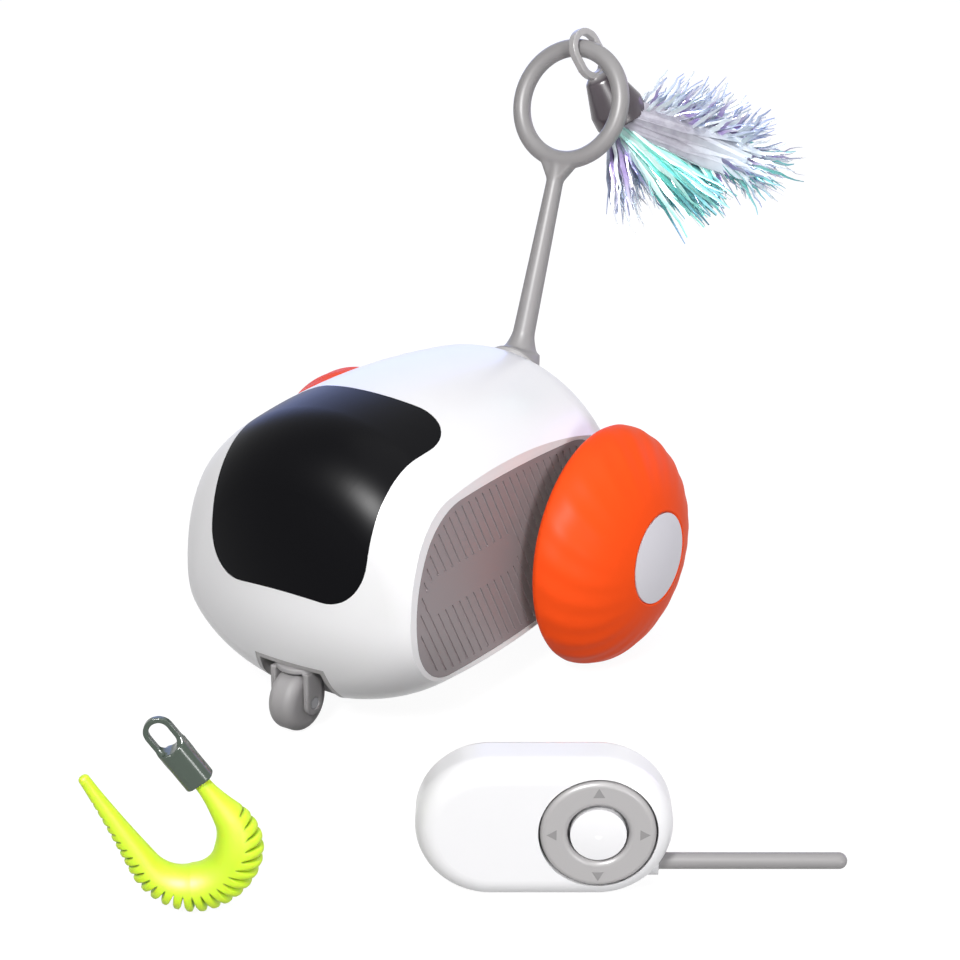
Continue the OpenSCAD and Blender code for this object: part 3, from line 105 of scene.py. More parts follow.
class CatToyColours(PropertyGroup):
    """Colours of the finishes, as linear values"""

    shell: colour("Shell", "White gloss of the body and the handset", (0.84, 0.84, 0.86))
    visor: colour("Visor", "Black gloss of the visor", (0.002, 0.002, 0.003))
    panel: colour("Side panels", "Grey of the grooved side panels", (0.24, 0.213, 0.223))
    # The warm tone, lifted, is also the painted light on the floors of the panel grooves
    panel_warm: colour("Panel drift", "Warmer tone into which the panels drift", (0.28, 0.238, 0.248))
    caster: colour("Caster", "Darker grey of the swivel caster", (0.4, 0.39, 0.4))
    trim: colour("Trim", "Grey of sockets, clip collar and direction ring", (0.43, 0.42, 0.425))
    mast: colour("Mast", "Grey rubber of the mast and the whip", (0.3, 0.292, 0.297))
    tyre: colour("Tyres", "Orange of the wheels", (0.96, 0.085, 0.011))
    cap: colour("Hub caps", "Pale grey of the hub caps", (0.7, 0.69, 0.74))
    ferrule: colour("Ferrule", "Dark bell of the tinsel lure", (0.088, 0.072, 0.085))
    aqua: colour("Aqua foil", "Bright foil strips under the plume", (0.1, 0.7, 0.6))
    lilac: colour("Lilac film", "Broad films and roots of violet strands", (0.2, 0.182, 0.24))
    pale: colour("Pale foil", "Middle of the silver strands", (0.6, 0.69, 0.78))
    blue: colour("Blue tips", "Tips of the silver and aqua strands", (0.1, 0.17, 0.48))
    purple: colour("Purple", "Middle of the violet strands", (0.2, 0.1, 0.42))
    worm: colour("Worm", "Neon rubber of the worm", (0.66, 0.93, 0.02))
    worm_clip: colour("Worm clip", "Dark green-grey of the worm's clip", (0.055, 0.078, 0.06))


class CatToyTyre(PropertyGroup):
    """Form of the fluted tyres"""

    flutes: count("Flutes", "Slanted flutes round each tyre", 24)
    depth: length("Flute depth", "Depth of a flute at the middle of the dome", 0.32 * MM)
    twist: angle("Twist", "Turn of a flute from the rim to the cap", 24)
    cap_seat: length("Cap seat", "Radius of the recess that takes the hub cap", 12.35 * MM)
    wall: length("Wall", "Thickness of the tyre's wall", 2.6 * MM)
    back_depth: length("Back depth", "Width of the rounded edge behind the rim", 2.5 * MM)
    back_drop: length("Back drop", "Fall of the rounded edge behind the rim", 2.4 * MM)
    hub_inset: length("Hub inset", "Tread to the seat of the hub", 4.35 * MM)
    steps: count("Dome steps", "Rings between the rim and the cap", 14)


class CatToyTinsel(PropertyGroup):
    """Counts and sizes of the tinsel plume"""

    films: count("Films", "Broad films along the top and front of the plume", 16)
    strips: count("Aqua strips", "Long bright strips under the films", 170)
    hanging: count("Hanging strands", "Strands that hang from the mouth", 110)
    feather: count("Feather", "Short strands along the upper edge", 300)
    ends: count("End fringe", "Short strands at the far end", 150)
    under: count("Under fringe", "Short strands along the lower edge", 170)
    mouth: length("Mouth", "Ring's eye to the clip's mouth", 22.1 * MM)
    root_r: length("Root", "Radius of the bundle in the mouth", 6.2 * MM)
    reach: length("Reach", "Length of which the films take a share", 46 * MM)
    foil: length("Foil", "Thickness of the foil", 0.16 * MM)
    bend: angle("Bend", "Turn of the plume away from the clip's axis", 43)
    bend_to: angle("Bend side", "Way round the clip to which the plume bends", 56)
    seed: count("Seed", "Start of the strip placing", 7)


class CatToyWorm(PropertyGroup):
    """Form and place of the worm lure, which stands on its bend"""

    ribs: count("Ribs", "Lamellae along the worm", 29)
    bend: length("Bend radius", "Radius of the bend at the worm's middle line", 11.4 * MM)
    start: angle("Start", "Where the bend starts, over the horizon", 35)
    sweep: angle("Sweep", "Angle that the bend turns through", 185)
    tail: length("Tail", "Straight length behind the bend", 25 * MM)
    girth: length("Girth", "Largest radius", 5.6 * MM)
    eye_from: length("Eye from", "Start of the bend to the clip's eye plate", 21 * MM)
    eye_thin: FloatProperty(name="Eye plate", description="Share of its thickness kept", default=0.55)
    neck: length("Neck", "Radius where the clip grips", 1.8 * MM)
    neck_length: length("Neck length", "Clip to the start of the bend", 10.5 * MM)
    plug: length("Plug", "Length held in the clip", 4 * MM)
    tip: length("Tip", "Radius at the end of the tail", 1.3 * MM)
    full_from: length("Full from", "Length along the bend where the girth is full", 10 * MM)
    full_to: length("Full to", "Length along the bend where the girth falls", 24 * MM)
    place: point("Place", "Where the worm stands on the floor", (34.8 * MM, -165 * MM, 0))
    turn: angle("Turn", "Way that the worm's plane faces", 33.4)


class CatToyStage(PropertyGroup):
    """Camera and light of the picture"""

    azimuth: angle("Azimuth", "Camera's way round the car from its nose", 33.42)
    elevation: angle("Elevation", "Camera's height over the horizon", 21.4)
    distance: length("Distance", "Camera to its target", 0.7045)
    lens: FloatProperty(name="Lens", description="Focal length in mm on the sensor", default=99.07)
    target: point("Target", "Point that the camera looks at", (0.01147, -0.01225, 0.04816))
    key: watts("Key light", "Power of the key lamp", 5.5)
    top: watts("Top light", "Power of the broad lamp overhead", 3.1)
    side: watts("Side light", "Power of the lamp beside the wheel", 4.3)
    violet: watts("Violet light", "Power of the violet lamp behind", 0.7)
    blue: watts("Blue light", "Power of the blue lamp behind", 1.8)
    gloss: watts("Gloss light", "Power of the card that only gloss shows", 30.0)
    fill: FloatProperty(name="Fill", description="Strength of the even studio light", default=0.27)


# Small helpers for modelling as by hand

# Distance within which vertices count as one
WELD = 0.001 * MM


def settings(group):
    return getattr(bpy.context.scene, "cat_toy_" + group)


def set_mode(mode):
    bpy.ops.object.mode_set(mode=mode)


def select_only(*objects):
    if bpy.context.object and bpy.context.object.mode != "OBJECT":
        set_mode("OBJECT")
    bpy.ops.object.select_all(action="DESELECT")
    for obj in objects:
        obj.select_set(True)
        bpy.context.view_layer.objects.active = obj


def named_new(name):
    obj = bpy.context.object
    obj.name = name
    obj.data.name = name
    return obj


def edit_all(obj):
    select_only(obj)
    set_mode("EDIT")
    bpy.ops.mesh.select_mode(type="VERT")
    bpy.ops.mesh.select_all(action="SELECT")


def pick_vertices(obj, wanted):
    """Leaves the object in edit mode with only the wanted vertices selected."""
    edit_all(obj)
    bpy.ops.mesh.select_all(action="DESELECT")
    set_mode("OBJECT")
    for vertex in obj.data.vertices:
        vertex.select = wanted(vertex)
    set_mode("EDIT")


def use_modifier(obj, kind, **values):
    select_only(obj)
    bpy.ops.object.modifier_add(type=kind)
    modifier = obj.modifiers[-1]
    for key, value in values.items():
        setattr(modifier, key, value)
    bpy.ops.object.modifier_apply(modifier=modifier.name)


def subdivide_smooth(obj, levels):
    use_modifier(obj, "SUBSURF", levels=levels, render_levels=levels)
    bpy.ops.object.shade_smooth()


def settle(obj, matrix):
    """Turns the mesh by a matrix, so that the object itself stays at the origin."""
    select_only(obj)
    obj.matrix_world = matrix
    bpy.ops.object.transform_apply()


def close_up(obj):
    """Merges doubles and points the faces outwards."""
    edit_all(obj)
    bpy.ops.mesh.remove_doubles(threshold=WELD)
    bpy.ops.mesh.normals_make_consistent()
    set_mode("OBJECT")


def ring_stack(name, sides, stations):
    """A skin of rings along Z, each extruded from the last and sized, as (height, radius)."""
    height, radius = stations[0]
    select_only()
    bpy.ops.mesh.primitive_circle_add(vertices=sides, radius=radius, location=(0, 0, height))
    obj = named_new(name)
    bpy.ops.object.transform_apply()
    edit_all(obj)
    for next_height, next_radius in stations[1:]:
        bpy.ops.mesh.extrude_region_move(TRANSFORM_OT_translate={"value": (0, 0, next_height - height)})
        scale = next_radius / radius
        bpy.ops.transform.resize(value=(scale, scale, 1), center_override=(0, 0, next_height))
        height, radius = next_height, next_radius
    set_mode("OBJECT")
    return obj


def frame_matrix(place, x, y, z):
    return Matrix.Translation(place) @ Matrix((x, y, z)).transposed().to_4x4()


def copy_of(source, name):
    obj = bpy.data.objects.new(name, source.data.copy())
    bpy.context.scene.collection.objects.link(obj)
    obj.data.name = name
    return obj


def softened_copy(node, name, voxel, passes):
    """A copy of a rigid node whose edges and joins are rounded as a moulded piece has them."""
    obj = copy_of(NODES[node], name)
    close_up(obj)
    use_modifier(obj, "REMESH", mode="VOXEL", voxel_size=voxel)
    use_modifier(obj, "SMOOTH", factor=0.5, iterations=passes)
    bpy.ops.object.shade_smooth()
    return obj


def stands_for(obj, material, body, slot, *nodes):
    """Puts a finished piece on its body, in place of the nodes that it stands for."""
    cover(obj, material)
    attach(obj, body)
    if nodes:
        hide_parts(*nodes)


# Shader node groups

# Scales of the noise that makes the moulded grain and the clouds of tone
GRAIN_SCALE, CLOUD_SCALE = 2500.0, 40.0
NOISE_MIDDLE = 0.5
BUMP_HEIGHT = 0.2 * MM
# Sockets of the mix node: the amount and its two colours, and the mixed colour
MIX_INPUTS, MIX_OUTPUT = (0, 6, 7), 2


def new_group(name, inputs, outputs):
    tree = bpy.data.node_groups.new(name, "ShaderNodeTree")
    for socket, kind, default in inputs:
        item = tree.interface.new_socket(socket, in_out="INPUT", socket_type=kind)
        item.default_value = default
    for socket, kind in outputs:
        tree.interface.new_socket(socket, in_out="OUTPUT", socket_type=kind)
    return tree, tree.nodes.new("NodeGroupInput"), tree.nodes.new("NodeGroupOutput")


def set_inputs(node, values):
    for name, value in values.items():
        node.inputs[name].default_value = value


def object_place(tree):
    return tree.nodes.new("ShaderNodeTexCoord").outputs["Object"]


def noise_node(tree, scale, detail=2.0):
    noise = tree.nodes.new("ShaderNodeTexNoise")
    set_inputs(noise, {"Scale": scale, "Detail": detail})
    tree.links.new(object_place(tree), noise.inputs["Vector"])
    return noise


def ramp_node(tree, value, start, end):
    """Rises from 0 to 1 while the value goes from start to end."""
    ramp = tree.nodes.new("ShaderNodeMapRange")
    set_inputs(ramp, {"From Min": start, "From Max": end})
    tree.links.new(value, ramp.inputs["Value"])
    return ramp.outputs["Result"]


def math_node(tree, operation, *values):
    node = tree.nodes.new("ShaderNodeMath")
    node.operation = operation
    for socket, value in zip(node.inputs, values):
        if isinstance(value, (int, float)):
            socket.default_value = value
        else:
            tree.links.new(value, socket)
    return node.outputs[0]


def colour_mix(tree, amount, first, second):
    node = tree.nodes.new("ShaderNodeMix")
    node.data_type = "RGBA"
    for index, value in zip(MIX_INPUTS, (amount, first, second)):
        if isinstance(value, bpy.types.NodeSocket):
            tree.links.new(value, node.inputs[index])
        else:
            node.inputs[index].default_value = (*value, 1)
    return node.outputs[MIX_OUTPUT]


def moulded_skin_group():
    """Roughness that drifts over the surface and a fine moulded grain."""
    inputs = [("Roughness", "NodeSocketFloat", 0.3), ("Spread", "NodeSocketFloat", 0.05),
              ("Grain", "NodeSocketFloat", GRAIN_SCALE)]
    outputs = [("Roughness", "NodeSocketFloat"), ("Height", "NodeSocketFloat")]
    tree, start, end = new_group("Moulded skin", inputs, outputs)
    drift = noise_node(tree, scale=60.0, detail=3.0)
    centred = math_node(tree, "SUBTRACT", drift.outputs["Fac"], NOISE_MIDDLE)
    swing = math_node(tree, "MULTIPLY", centred, start.outputs["Spread"])
    rough = math_node(tree, "ADD", start.outputs["Roughness"], swing)
    grain = noise_node(tree, GRAIN_SCALE)
    tree.links.new(start.outputs["Grain"], grain.inputs["Scale"])
    tree.links.new(rough, end.inputs["Roughness"])
    tree.links.new(grain.outputs["Fac"], end.inputs["Height"])
    return tree


def tone_drift_group():
    """Colour that drifts between a tone and its shade."""
    inputs = [("Tone", "NodeSocketColor", (1, 1, 1, 1)), ("Shade", "NodeSocketColor", (0.8, 0.8, 0.8, 1)),
              ("Scale", "NodeSocketFloat", CLOUD_SCALE), ("Amount", "NodeSocketFloat", 0.5)]
    tree, start, end = new_group("Tone drift", inputs, [("Colour", "NodeSocketColor")])
    cloud = noise_node(tree, CLOUD_SCALE, detail=4.0)
    tree.links.new(start.outputs["Scale"], cloud.inputs["Scale"])
    amount = math_node(tree, "MULTIPLY", cloud.outputs["Fac"], start.outputs["Amount"])
    mixed = colour_mix(tree, amount, start.outputs["Tone"], start.outputs["Shade"])
    tree.links.new(mixed, end.inputs["Colour"])
    return tree


def place_group(tree, name, **values):
    builders = {"Moulded skin": moulded_skin_group, "Tone drift": tone_drift_group}
    node = tree.nodes.new("ShaderNodeGroup")
    node.node_tree = bpy.data.node_groups.get(name) or builders[name]()
    set_inputs(node, values)
    return node


def new_finish(name, tone, rough, spread=0.06, grain=GRAIN_SCALE, bump=0.02, drift=0.35, shade=0.86,
               patch=CLOUD_SCALE, **sockets):
    """A material with drifting tone, drifting roughness and a fine grain.

    The shade is a share of the tone or a colour of its own. Other keywords set sockets of the shader.
    """
    shade_tone = [c * shade for c in tone] if isinstance(shade, float) else shade
    material = bpy.data.materials.new(name)
    material.use_nodes = True
    tree = material.node_tree
    shader = shader_of(material)
    colours = place_group(tree, "Tone drift", Tone=(*tone, 1), Shade=(*shade_tone, 1), Scale=patch,
                          Amount=drift)
    skin = place_group(tree, "Moulded skin", Roughness=rough, Spread=spread, Grain=grain)
    lift = tree.nodes.new("ShaderNodeBump")
    set_inputs(lift, {"Strength": bump, "Distance": BUMP_HEIGHT})
    tree.links.new(colours.outputs["Colour"], shader.inputs["Base Color"])
    tree.links.new(skin.outputs["Roughness"], shader.inputs["Roughness"])
    tree.links.new(skin.outputs["Height"], lift.inputs["Height"])
    tree.links.new(lift.outputs["Normal"], shader.inputs["Normal"])
    set_inputs(shader, {socket.replace("_", " "): value for socket, value in sockets.items()})
    material.diffuse_color = (*tone, 1)
    return material


def shader_of(material):
    return material.node_tree.nodes["Principled BSDF"]


def blend_base(material, amount, tone):
    """Mixes a tone into the colour of a finish, by an amount that a socket gives."""
    base = shader_of(material).inputs["Base Color"]
    mixed = colour_mix(material.node_tree, amount, base.links[0].from_socket, tone)
    material.node_tree.links.new(mixed, base)


def scaled(tone, factor):
    return tuple(factor * c for c in tone)


def cover(obj, material):
    obj.data.materials.clear()
    obj.data.materials.append(material)


def cover_nodes(material, *names):
    for name in names:
        cover(NODES[name], material)


def both(*names):
    return [f"{name}_{side}" for name in names for side in SIDES]


# Body and its finishes


def mend_tip(obj, depth):
    """Joins the split corners round the tip of a dome, where the shading would show a speck."""
    tip_depth, gap = 0.1 * MM, 0.01 * MM
    pick_vertices(obj, lambda v: depth(v.co) < tip_depth)
    bpy.ops.mesh.remove_doubles(threshold=gap)
    bpy.ops.mesh.normals_tools(mode="RESET")
    set_mode("OBJECT")


def panel_finish(tones):
    """Satin grey that drifts to a warmer tone, with painted light on the floor of the cut grooves that
    lessens their shade.
    """
    # The groove floors take a lighter tone: painted light that lessens the shade down in the grooves
    groove_top, groove_floor, painted_light_lift = 0.1 * MM, 0.35 * MM, 1.3
    material = new_finish("Panel satin", tones.panel, rough=0.42, grain=1800.0, bump=0.03, drift=0.9,
                          shade=tones.panel_warm, patch=22.0)
    tree = material.node_tree
    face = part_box("side_panel_left")[1].x
    split = tree.nodes.new("ShaderNodeSeparateXYZ")
    tree.links.new(object_place(tree), split.inputs["Vector"])
    outwards = math_node(tree, "ABSOLUTE", split.outputs["X"])
    # Mask of the groove floors, where the painted light goes
    painted_groove_light = ramp_node(tree, outwards, face - groove_top, face - groove_floor)
    blend_base(material, painted_groove_light, scaled(tones.panel_warm, painted_light_lift))
    return material


class CATTOY_OT_body(Operator):
    """Finishes the cases of car and handset, the visor, side panels, caster, sockets and hub caps"""

    bl_idname = "cattoy.body"
    bl_label = "Body finishes"

    def execute(self, context):
        tones = settings("colours")
        white = new_finish("Body gloss", tones.shell, rough=0.3, spread=0.08, grain=1500.0, bump=0.012,
                           drift=0.12, Coat_Weight=0.2, Coat_Roughness=0.1)
        cover_nodes(white, "belly_pan", "handset_top", "handset_base", "battery_door", "centre_button",
                    "whip_socket")
        shell = copy_of(NODES["main_shell"], "body_shell")
        low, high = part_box("main_shell")
        mend_tip(shell, lambda spot: min(spot.y - low.y, high.y - spot.y))
        stands_for(shell, white, "car", "shell_white", "main_shell")
        black = new_finish("Visor gloss", tones.visor, rough=0.34, spread=0.03, bump=0.0, drift=0.3,
                           IOR=1.15)
        cover_nodes(black, "visor")
        cover_nodes(panel_finish(tones), *both("side_panel"))
        grey = new_finish("Trim satin", tones.trim, rough=0.38, spread=0.1)
        cover_nodes(grey, "caster_well", "tail_socket", "direction_ring")
        satin = new_finish("Caster satin", tones.caster, rough=0.55, spread=0.1, IOR=1.3)
        cover_nodes(satin, "caster_roller")
        fork = softened_copy("caster_fork", "caster_fork_soft", voxel=0.25 * MM, passes=8)
        stands_for(fork, satin, "caster_swivel", "trim_grey", "caster_fork")
        pale = new_finish("Hub cap satin", tones.cap, rough=0.3, drift=0.2)
        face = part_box("hub_cap_left")[1].x
        for side in SIDES:
            cap = copy_of(NODES["hub_cap_" + side], "wheel_cap_" + side)
            mend_tip(cap, lambda spot: face - abs(spot.x))
            stands_for(cap, pale, "wheel_" + side, "cap_white", "hub_cap_" + side)
        return {"FINISHED"}


class CATTOY_OT_works(Operator):
    """Finishes the drive, the boards and the other small and inner pieces"""

    bl_idname = "cattoy.works"
    bl_label = "Inner finishes"

    def execute(self, context):
        turned = {"spread": 0.2, "grain": 5200.0, "bump": 0.05, "Metallic": 1.0}
        steel = new_finish("Turned steel", tone=(0.56, 0.57, 0.6), rough=0.32, **turned)
        cover_nodes(steel, "charge_port", "power_switch", "belly_screws", "coin_cell", "handset_screws",
                    *both("axle", "idler_pin", "motor"))
        dark = new_finish("Blackened steel", tone=(0.2, 0.2, 0.21), rough=0.5, Metallic=1.0)
        cover_nodes(dark, "caster_axle")
        brass = new_finish("Turned brass", tone=(0.75, 0.55, 0.22), rough=0.3, **turned)
        cover_nodes(brass, "cell_contact", *both("axle_bushes", "motor_pinion"))
        nylon = new_finish("Gear nylon", tone=(0.8, 0.77, 0.67), rough=0.45, spread=0.1)
        cover_nodes(nylon, *both("wheel_hub", "output_gear", "idler_gear"))
        grey = new_finish("Inner grey", tone=(0.36, 0.36, 0.37), rough=0.5, spread=0.1)
        cover_nodes(grey, "rocker_plate", *both("gearbox_frame", "gearbox_cover"))
        green = new_finish("Solder mask", tone=(0.02, 0.11, 0.04), rough=0.4, spread=0.15, drift=0.8,
                           shade=0.6)
        cover_nodes(green, "main_board", "receiver_board", "handset_board")
        cover_nodes(new_finish("Cell wrap", tone=(0.03, 0.12, 0.42), rough=0.3), "battery")
        knob = new_finish("Knob black", tone=(0.02, 0.02, 0.02), rough=0.5, grain=1500.0, bump=0.1)
        cover_nodes(knob, "power_slider")
        cover_nodes(new_finish("Key pad silicone", tone=(0.5, 0.5, 0.5), rough=0.6), "key_pad")
        return {"FINISHED"}


# Wheels

# Vertices from one flute of a tyre to the next
PER_FLUTE = 8
# Rings over the rounded back edge, as shares of its width, and the flute's depth where it ends
BACK_PARTS = (0.05, 0.2, 0.45, 0.72)
BACK_FLUTE = 0.3
INNER_STEPS = 6


class CATTOY_OT_tyres(Operator):
    """Models the domed tyres with their slanted flutes"""

    bl_idname = "cattoy.tyres"
    bl_label = "Tyres"

    def execute(self, context):
        tones, form = settings("colours"), settings("tyre")
        rubber = new_finish("Tyre rubber", tones.tyre, rough=0.45, spread=0.12, grain=1400.0, bump=0.04,
                            drift=0.25, shade=0.8, IOR=1.14)
        left = fluted_tyre(form)
        right = copy_of(left, "tyre_right")
        settle(right, Matrix.Diagonal((-1, 1, 1, 1)))
        for side, tyre in zip(SIDES, (left, right)):
            close_up(tyre)
            select_only(tyre)
            bpy.ops.object.shade_smooth_by_angle(angle=math.radians(50))
            stands_for(tyre, rubber, "wheel_" + side, "wheel_orange", "wheel_tyre_" + side)
        return {"FINISHED"}


def flute_share(part):
    """Share of the flute's depth on the dome, from the rim at 0 to the cap at 1, where it fades out."""
    at_rim, early, fade = 0.4, 1.15, 4
    swell = math.sin(math.pi * min(1, early * part))
    return (at_rim + (1 - at_rim) * swell) * min(1, fade * (1 - part))


def tyre_rings(form, back, face, radius):
    """Stations round the tyre's wall as height, radius, share of the flute depth, share of the twist."""
    rim, seat, hub_r = back + form.back_depth, form.cap_seat, radius - form.hub_inset
    bevel, edge, lip = 0.25 * MM, 0.3 * MM, 0.85 * MM
    crest, crest_width, seat_depth = 0.05 * MM, 0.35 * MM, 1.5 * MM
    hole, shoulder = 0.6 * seat, 1.2 * seat
    arc = math.acos((seat + lip) / radius)
    deep = (face - rim) / math.sin(arc)
    rings = [(back + bevel, hub_r, 0, 0), (back, hub_r + edge, 0, 0)]
    rings.append((back, radius - form.back_drop - edge, 0, 0))
    for part in BACK_PARTS:
        fall = form.back_drop * (1 - math.sqrt(2 * part - part * part))
        rings.append((back + part * form.back_depth, radius - fall, BACK_FLUTE * part, 0))
    for step in range(form.steps + 1):
        part = step / form.steps
        height, wide = rim + deep * math.sin(arc * part), radius * math.cos(arc * part)
        rings.append((height, wide, flute_share(part), part))
    rings += [(face + crest, seat + crest_width, 0, 1), (face - edge, seat, 0, 1)]
    rings += [(face - seat_depth, wide, 0, 1) for wide in (seat, hole)]
    rings += [(face - seat_depth - form.wall, wide, 0, 1) for wide in (hole, shoulder)]
    inner_deep, inner_r = deep - form.wall, radius - form.wall - form.depth
    last = math.asin((face - rim - seat_depth - form.wall) / inner_deep)
    first = math.acos(hub_r / inner_r)
    for step in range(INNER_STEPS + 1):
        at = last + (first - last) * step / INNER_STEPS
        rings.append((rim + inner_deep * math.sin(at), inner_r * math.cos(at), 0, 1))
    return rings


def fluted_tyre(form):
    """The left tyre: a closed stack of rings, pressed in along the flutes and twisted."""
    low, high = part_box("wheel_tyre_left")
    hub = joint_place("wheel_left_spin")
    rings = tyre_rings(form, low.x, high.x, high.z - hub.z)
    sides = form.flutes * PER_FLUTE
    tyre = ring_stack("tyre_left", sides, [ring[:2] for ring in rings])
    pick_vertices(tyre, lambda v: v.index < sides or v.index >= (len(rings) - 1) * sides)
    bpy.ops.mesh.bridge_edge_loops()
    for ring, (height, wide, deep_share, turn) in enumerate(rings):
        own = range(ring * sides, (ring + 1) * sides)
        for step in range(1, PER_FLUTE // 2 + 1):
            dip = form.depth * deep_share * (0.5 - 0.5 * math.cos(2 * math.pi * step / PER_FLUTE))
            if dip > 0:
                phases = {step, PER_FLUTE - step}
                pick_vertices(tyre, lambda v: v.index in own and v.index % PER_FLUTE in phases)
                scale = 1 - dip / wide
                bpy.ops.transform.resize(value=(scale, scale, 1), center_override=(0, 0, height))
        if turn > 0 and deep_share > 0:
            pick_vertices(tyre, lambda v: v.index in own)
            bpy.ops.transform.rotate(value=-form.twist * turn, orient_axis="Z",
                                     center_override=(0, 0, height))
    set_mode("OBJECT")
    subdivide_smooth(tyre, 1)
    settle(tyre, frame_matrix((0, hub.y, hub.z), (0, 0, -1), (0, 1, 0), (1, 0, 0)))
    return tyre


# Mast and lure clip


def banded_finish(name, near, far, place, way, start, end, rough):
    """A finish that changes from one tone to another along a direction, as two shots of one moulding."""
    material = new_finish(name, near, rough, spread=0.12, drift=0.3)
    tree = material.node_tree
    reach = tree.nodes.new("ShaderNodeVectorMath")
    reach.operation = "DOT_PRODUCT"
    tree.links.new(object_place(tree), reach.inputs[0])
    reach.inputs[1].default_value = way
    offset = place.dot(way)
    band = ramp_node(tree, reach.outputs["Value"], offset + start, offset + end)
    blend_base(material, band, far)
    return material


def lure_way():
    """The ring's eye, the axis of its swing, and the direction from the eye to the clip's mouth."""
    digits, rim_depth = 6, 0.1 * MM
    eye, axis = joint_place("lure_swing"), joint_axis("lure_swing")
    corners = NODES["lure_clip"].data.vertices
    spots = {tuple(round(c, digits) for c in vertex.co - eye) for vertex in corners}
    spots = [Vector(spot) for spot in spots]
    farthest = max(spot.length for spot in spots)
    rim = [spot for spot in spots if spot.length > farthest - rim_depth]
    way = sum(rim, Vector()) / len(rim)
    way -= way.dot(axis) * axis
    return eye, axis, way.normalized()


class CATTOY_OT_mast(Operator):
    """Models the rubber mast with its ring and the lure's clip, and finishes the whip"""

    bl_idname = "cattoy.mast"
    bl_label = "Mast and clip"

    def execute(self, context):
        tones = settings("colours")
        rubber = new_finish("Mast rubber", tones.mast, rough=0.4, spread=0.12, grain=1600.0, bump=0.03,
                            drift=0.3, IOR=1.35)
        mast = softened_copy("tail_mast", "mast", voxel=0.4 * MM, passes=14)
        stands_for(mast, rubber, "car", "mast_rubber", "tail_mast")
        cover_nodes(rubber, "whip")
        eye, _, way = lure_way()
        clip = softened_copy("lure_clip", "tinsel_clip", voxel=0.22 * MM, passes=8)
        gloss = banded_finish("Clip gloss", tones.trim, tones.ferrule, eye, way, start=7.6 * MM, end=9 * MM,
                              rough=0.26)
        stands_for(clip, gloss, "lure", "clip_dark", "lure_clip")
        return {"FINISHED"}


# Tinsel plume

STRIP_SEGMENTS = 8
# Crinkle of a strip: its turn from root to tip in radians, and its share towards the flat side
CRINKLE_TURN, CRINKLE_FLAT = 17, 0.6
# Films: degrees round the plume, distance out in root radii, tilt, share of the reach, width in mm
FILM_FROM, FILM_SWEEP, FILM_OUT = 15, 80, 0.9
FILM_TILT, FILM_LENGTH, FILM_WIDTH = (-0.1, 0.06), (0.74, 0.9), (4, 6.5)
# Strands: how far the root keeps to the clip's way, and how far the strand then swings off
ROOT_PULL, ROOT_SWING = 0.12, 3 * MM
# Strands: limits of the draws for the place in the root, the sway and the crinkle
ROOT_AREA, LEVEL_SWAY, UPRIGHT_SWAY, CRINKLE_SPREAD = (0.1, 1), (-1, 1), (-1.4, 0.6), (0.5, 1.3)
SWAY = 2 * MM
# How much the bundle narrows over the plume's reach
NARROWING = 0.5
# Near-white tone of the painted highlight on the foil
PAINTED_GLINT_TONE = (0.92, 0.96, 1.0)


def foil_strip(name, segments):
    """One flat closed strip of unit length, width and thickness along Z, tapered to its tip."""
    select_only()
    bpy.ops.mesh.primitive_circle_add(vertices=4, radius=0.5, fill_type="NGON")
    strip = named_new(name)
    edit_all(strip)
    for segment in range(1, segments + 1):
        bpy.ops.mesh.extrude_region_move(TRANSFORM_OT_translate={"value": (0, 0, 1 / segments)})
        if segment > segments // 2:
            left = (segments - segment + 1) / (segments - segment + 2)
            bpy.ops.transform.resize(value=(left, left, 1), center_override=(0, 0, segment / segments))
    close_up(strip)
    return strip


def tint_between(first, second, amount):
    return [a + (b - a) * amount for a, b in zip(first, second)]


def in_mm(low, high):
    return low * MM, high * MM


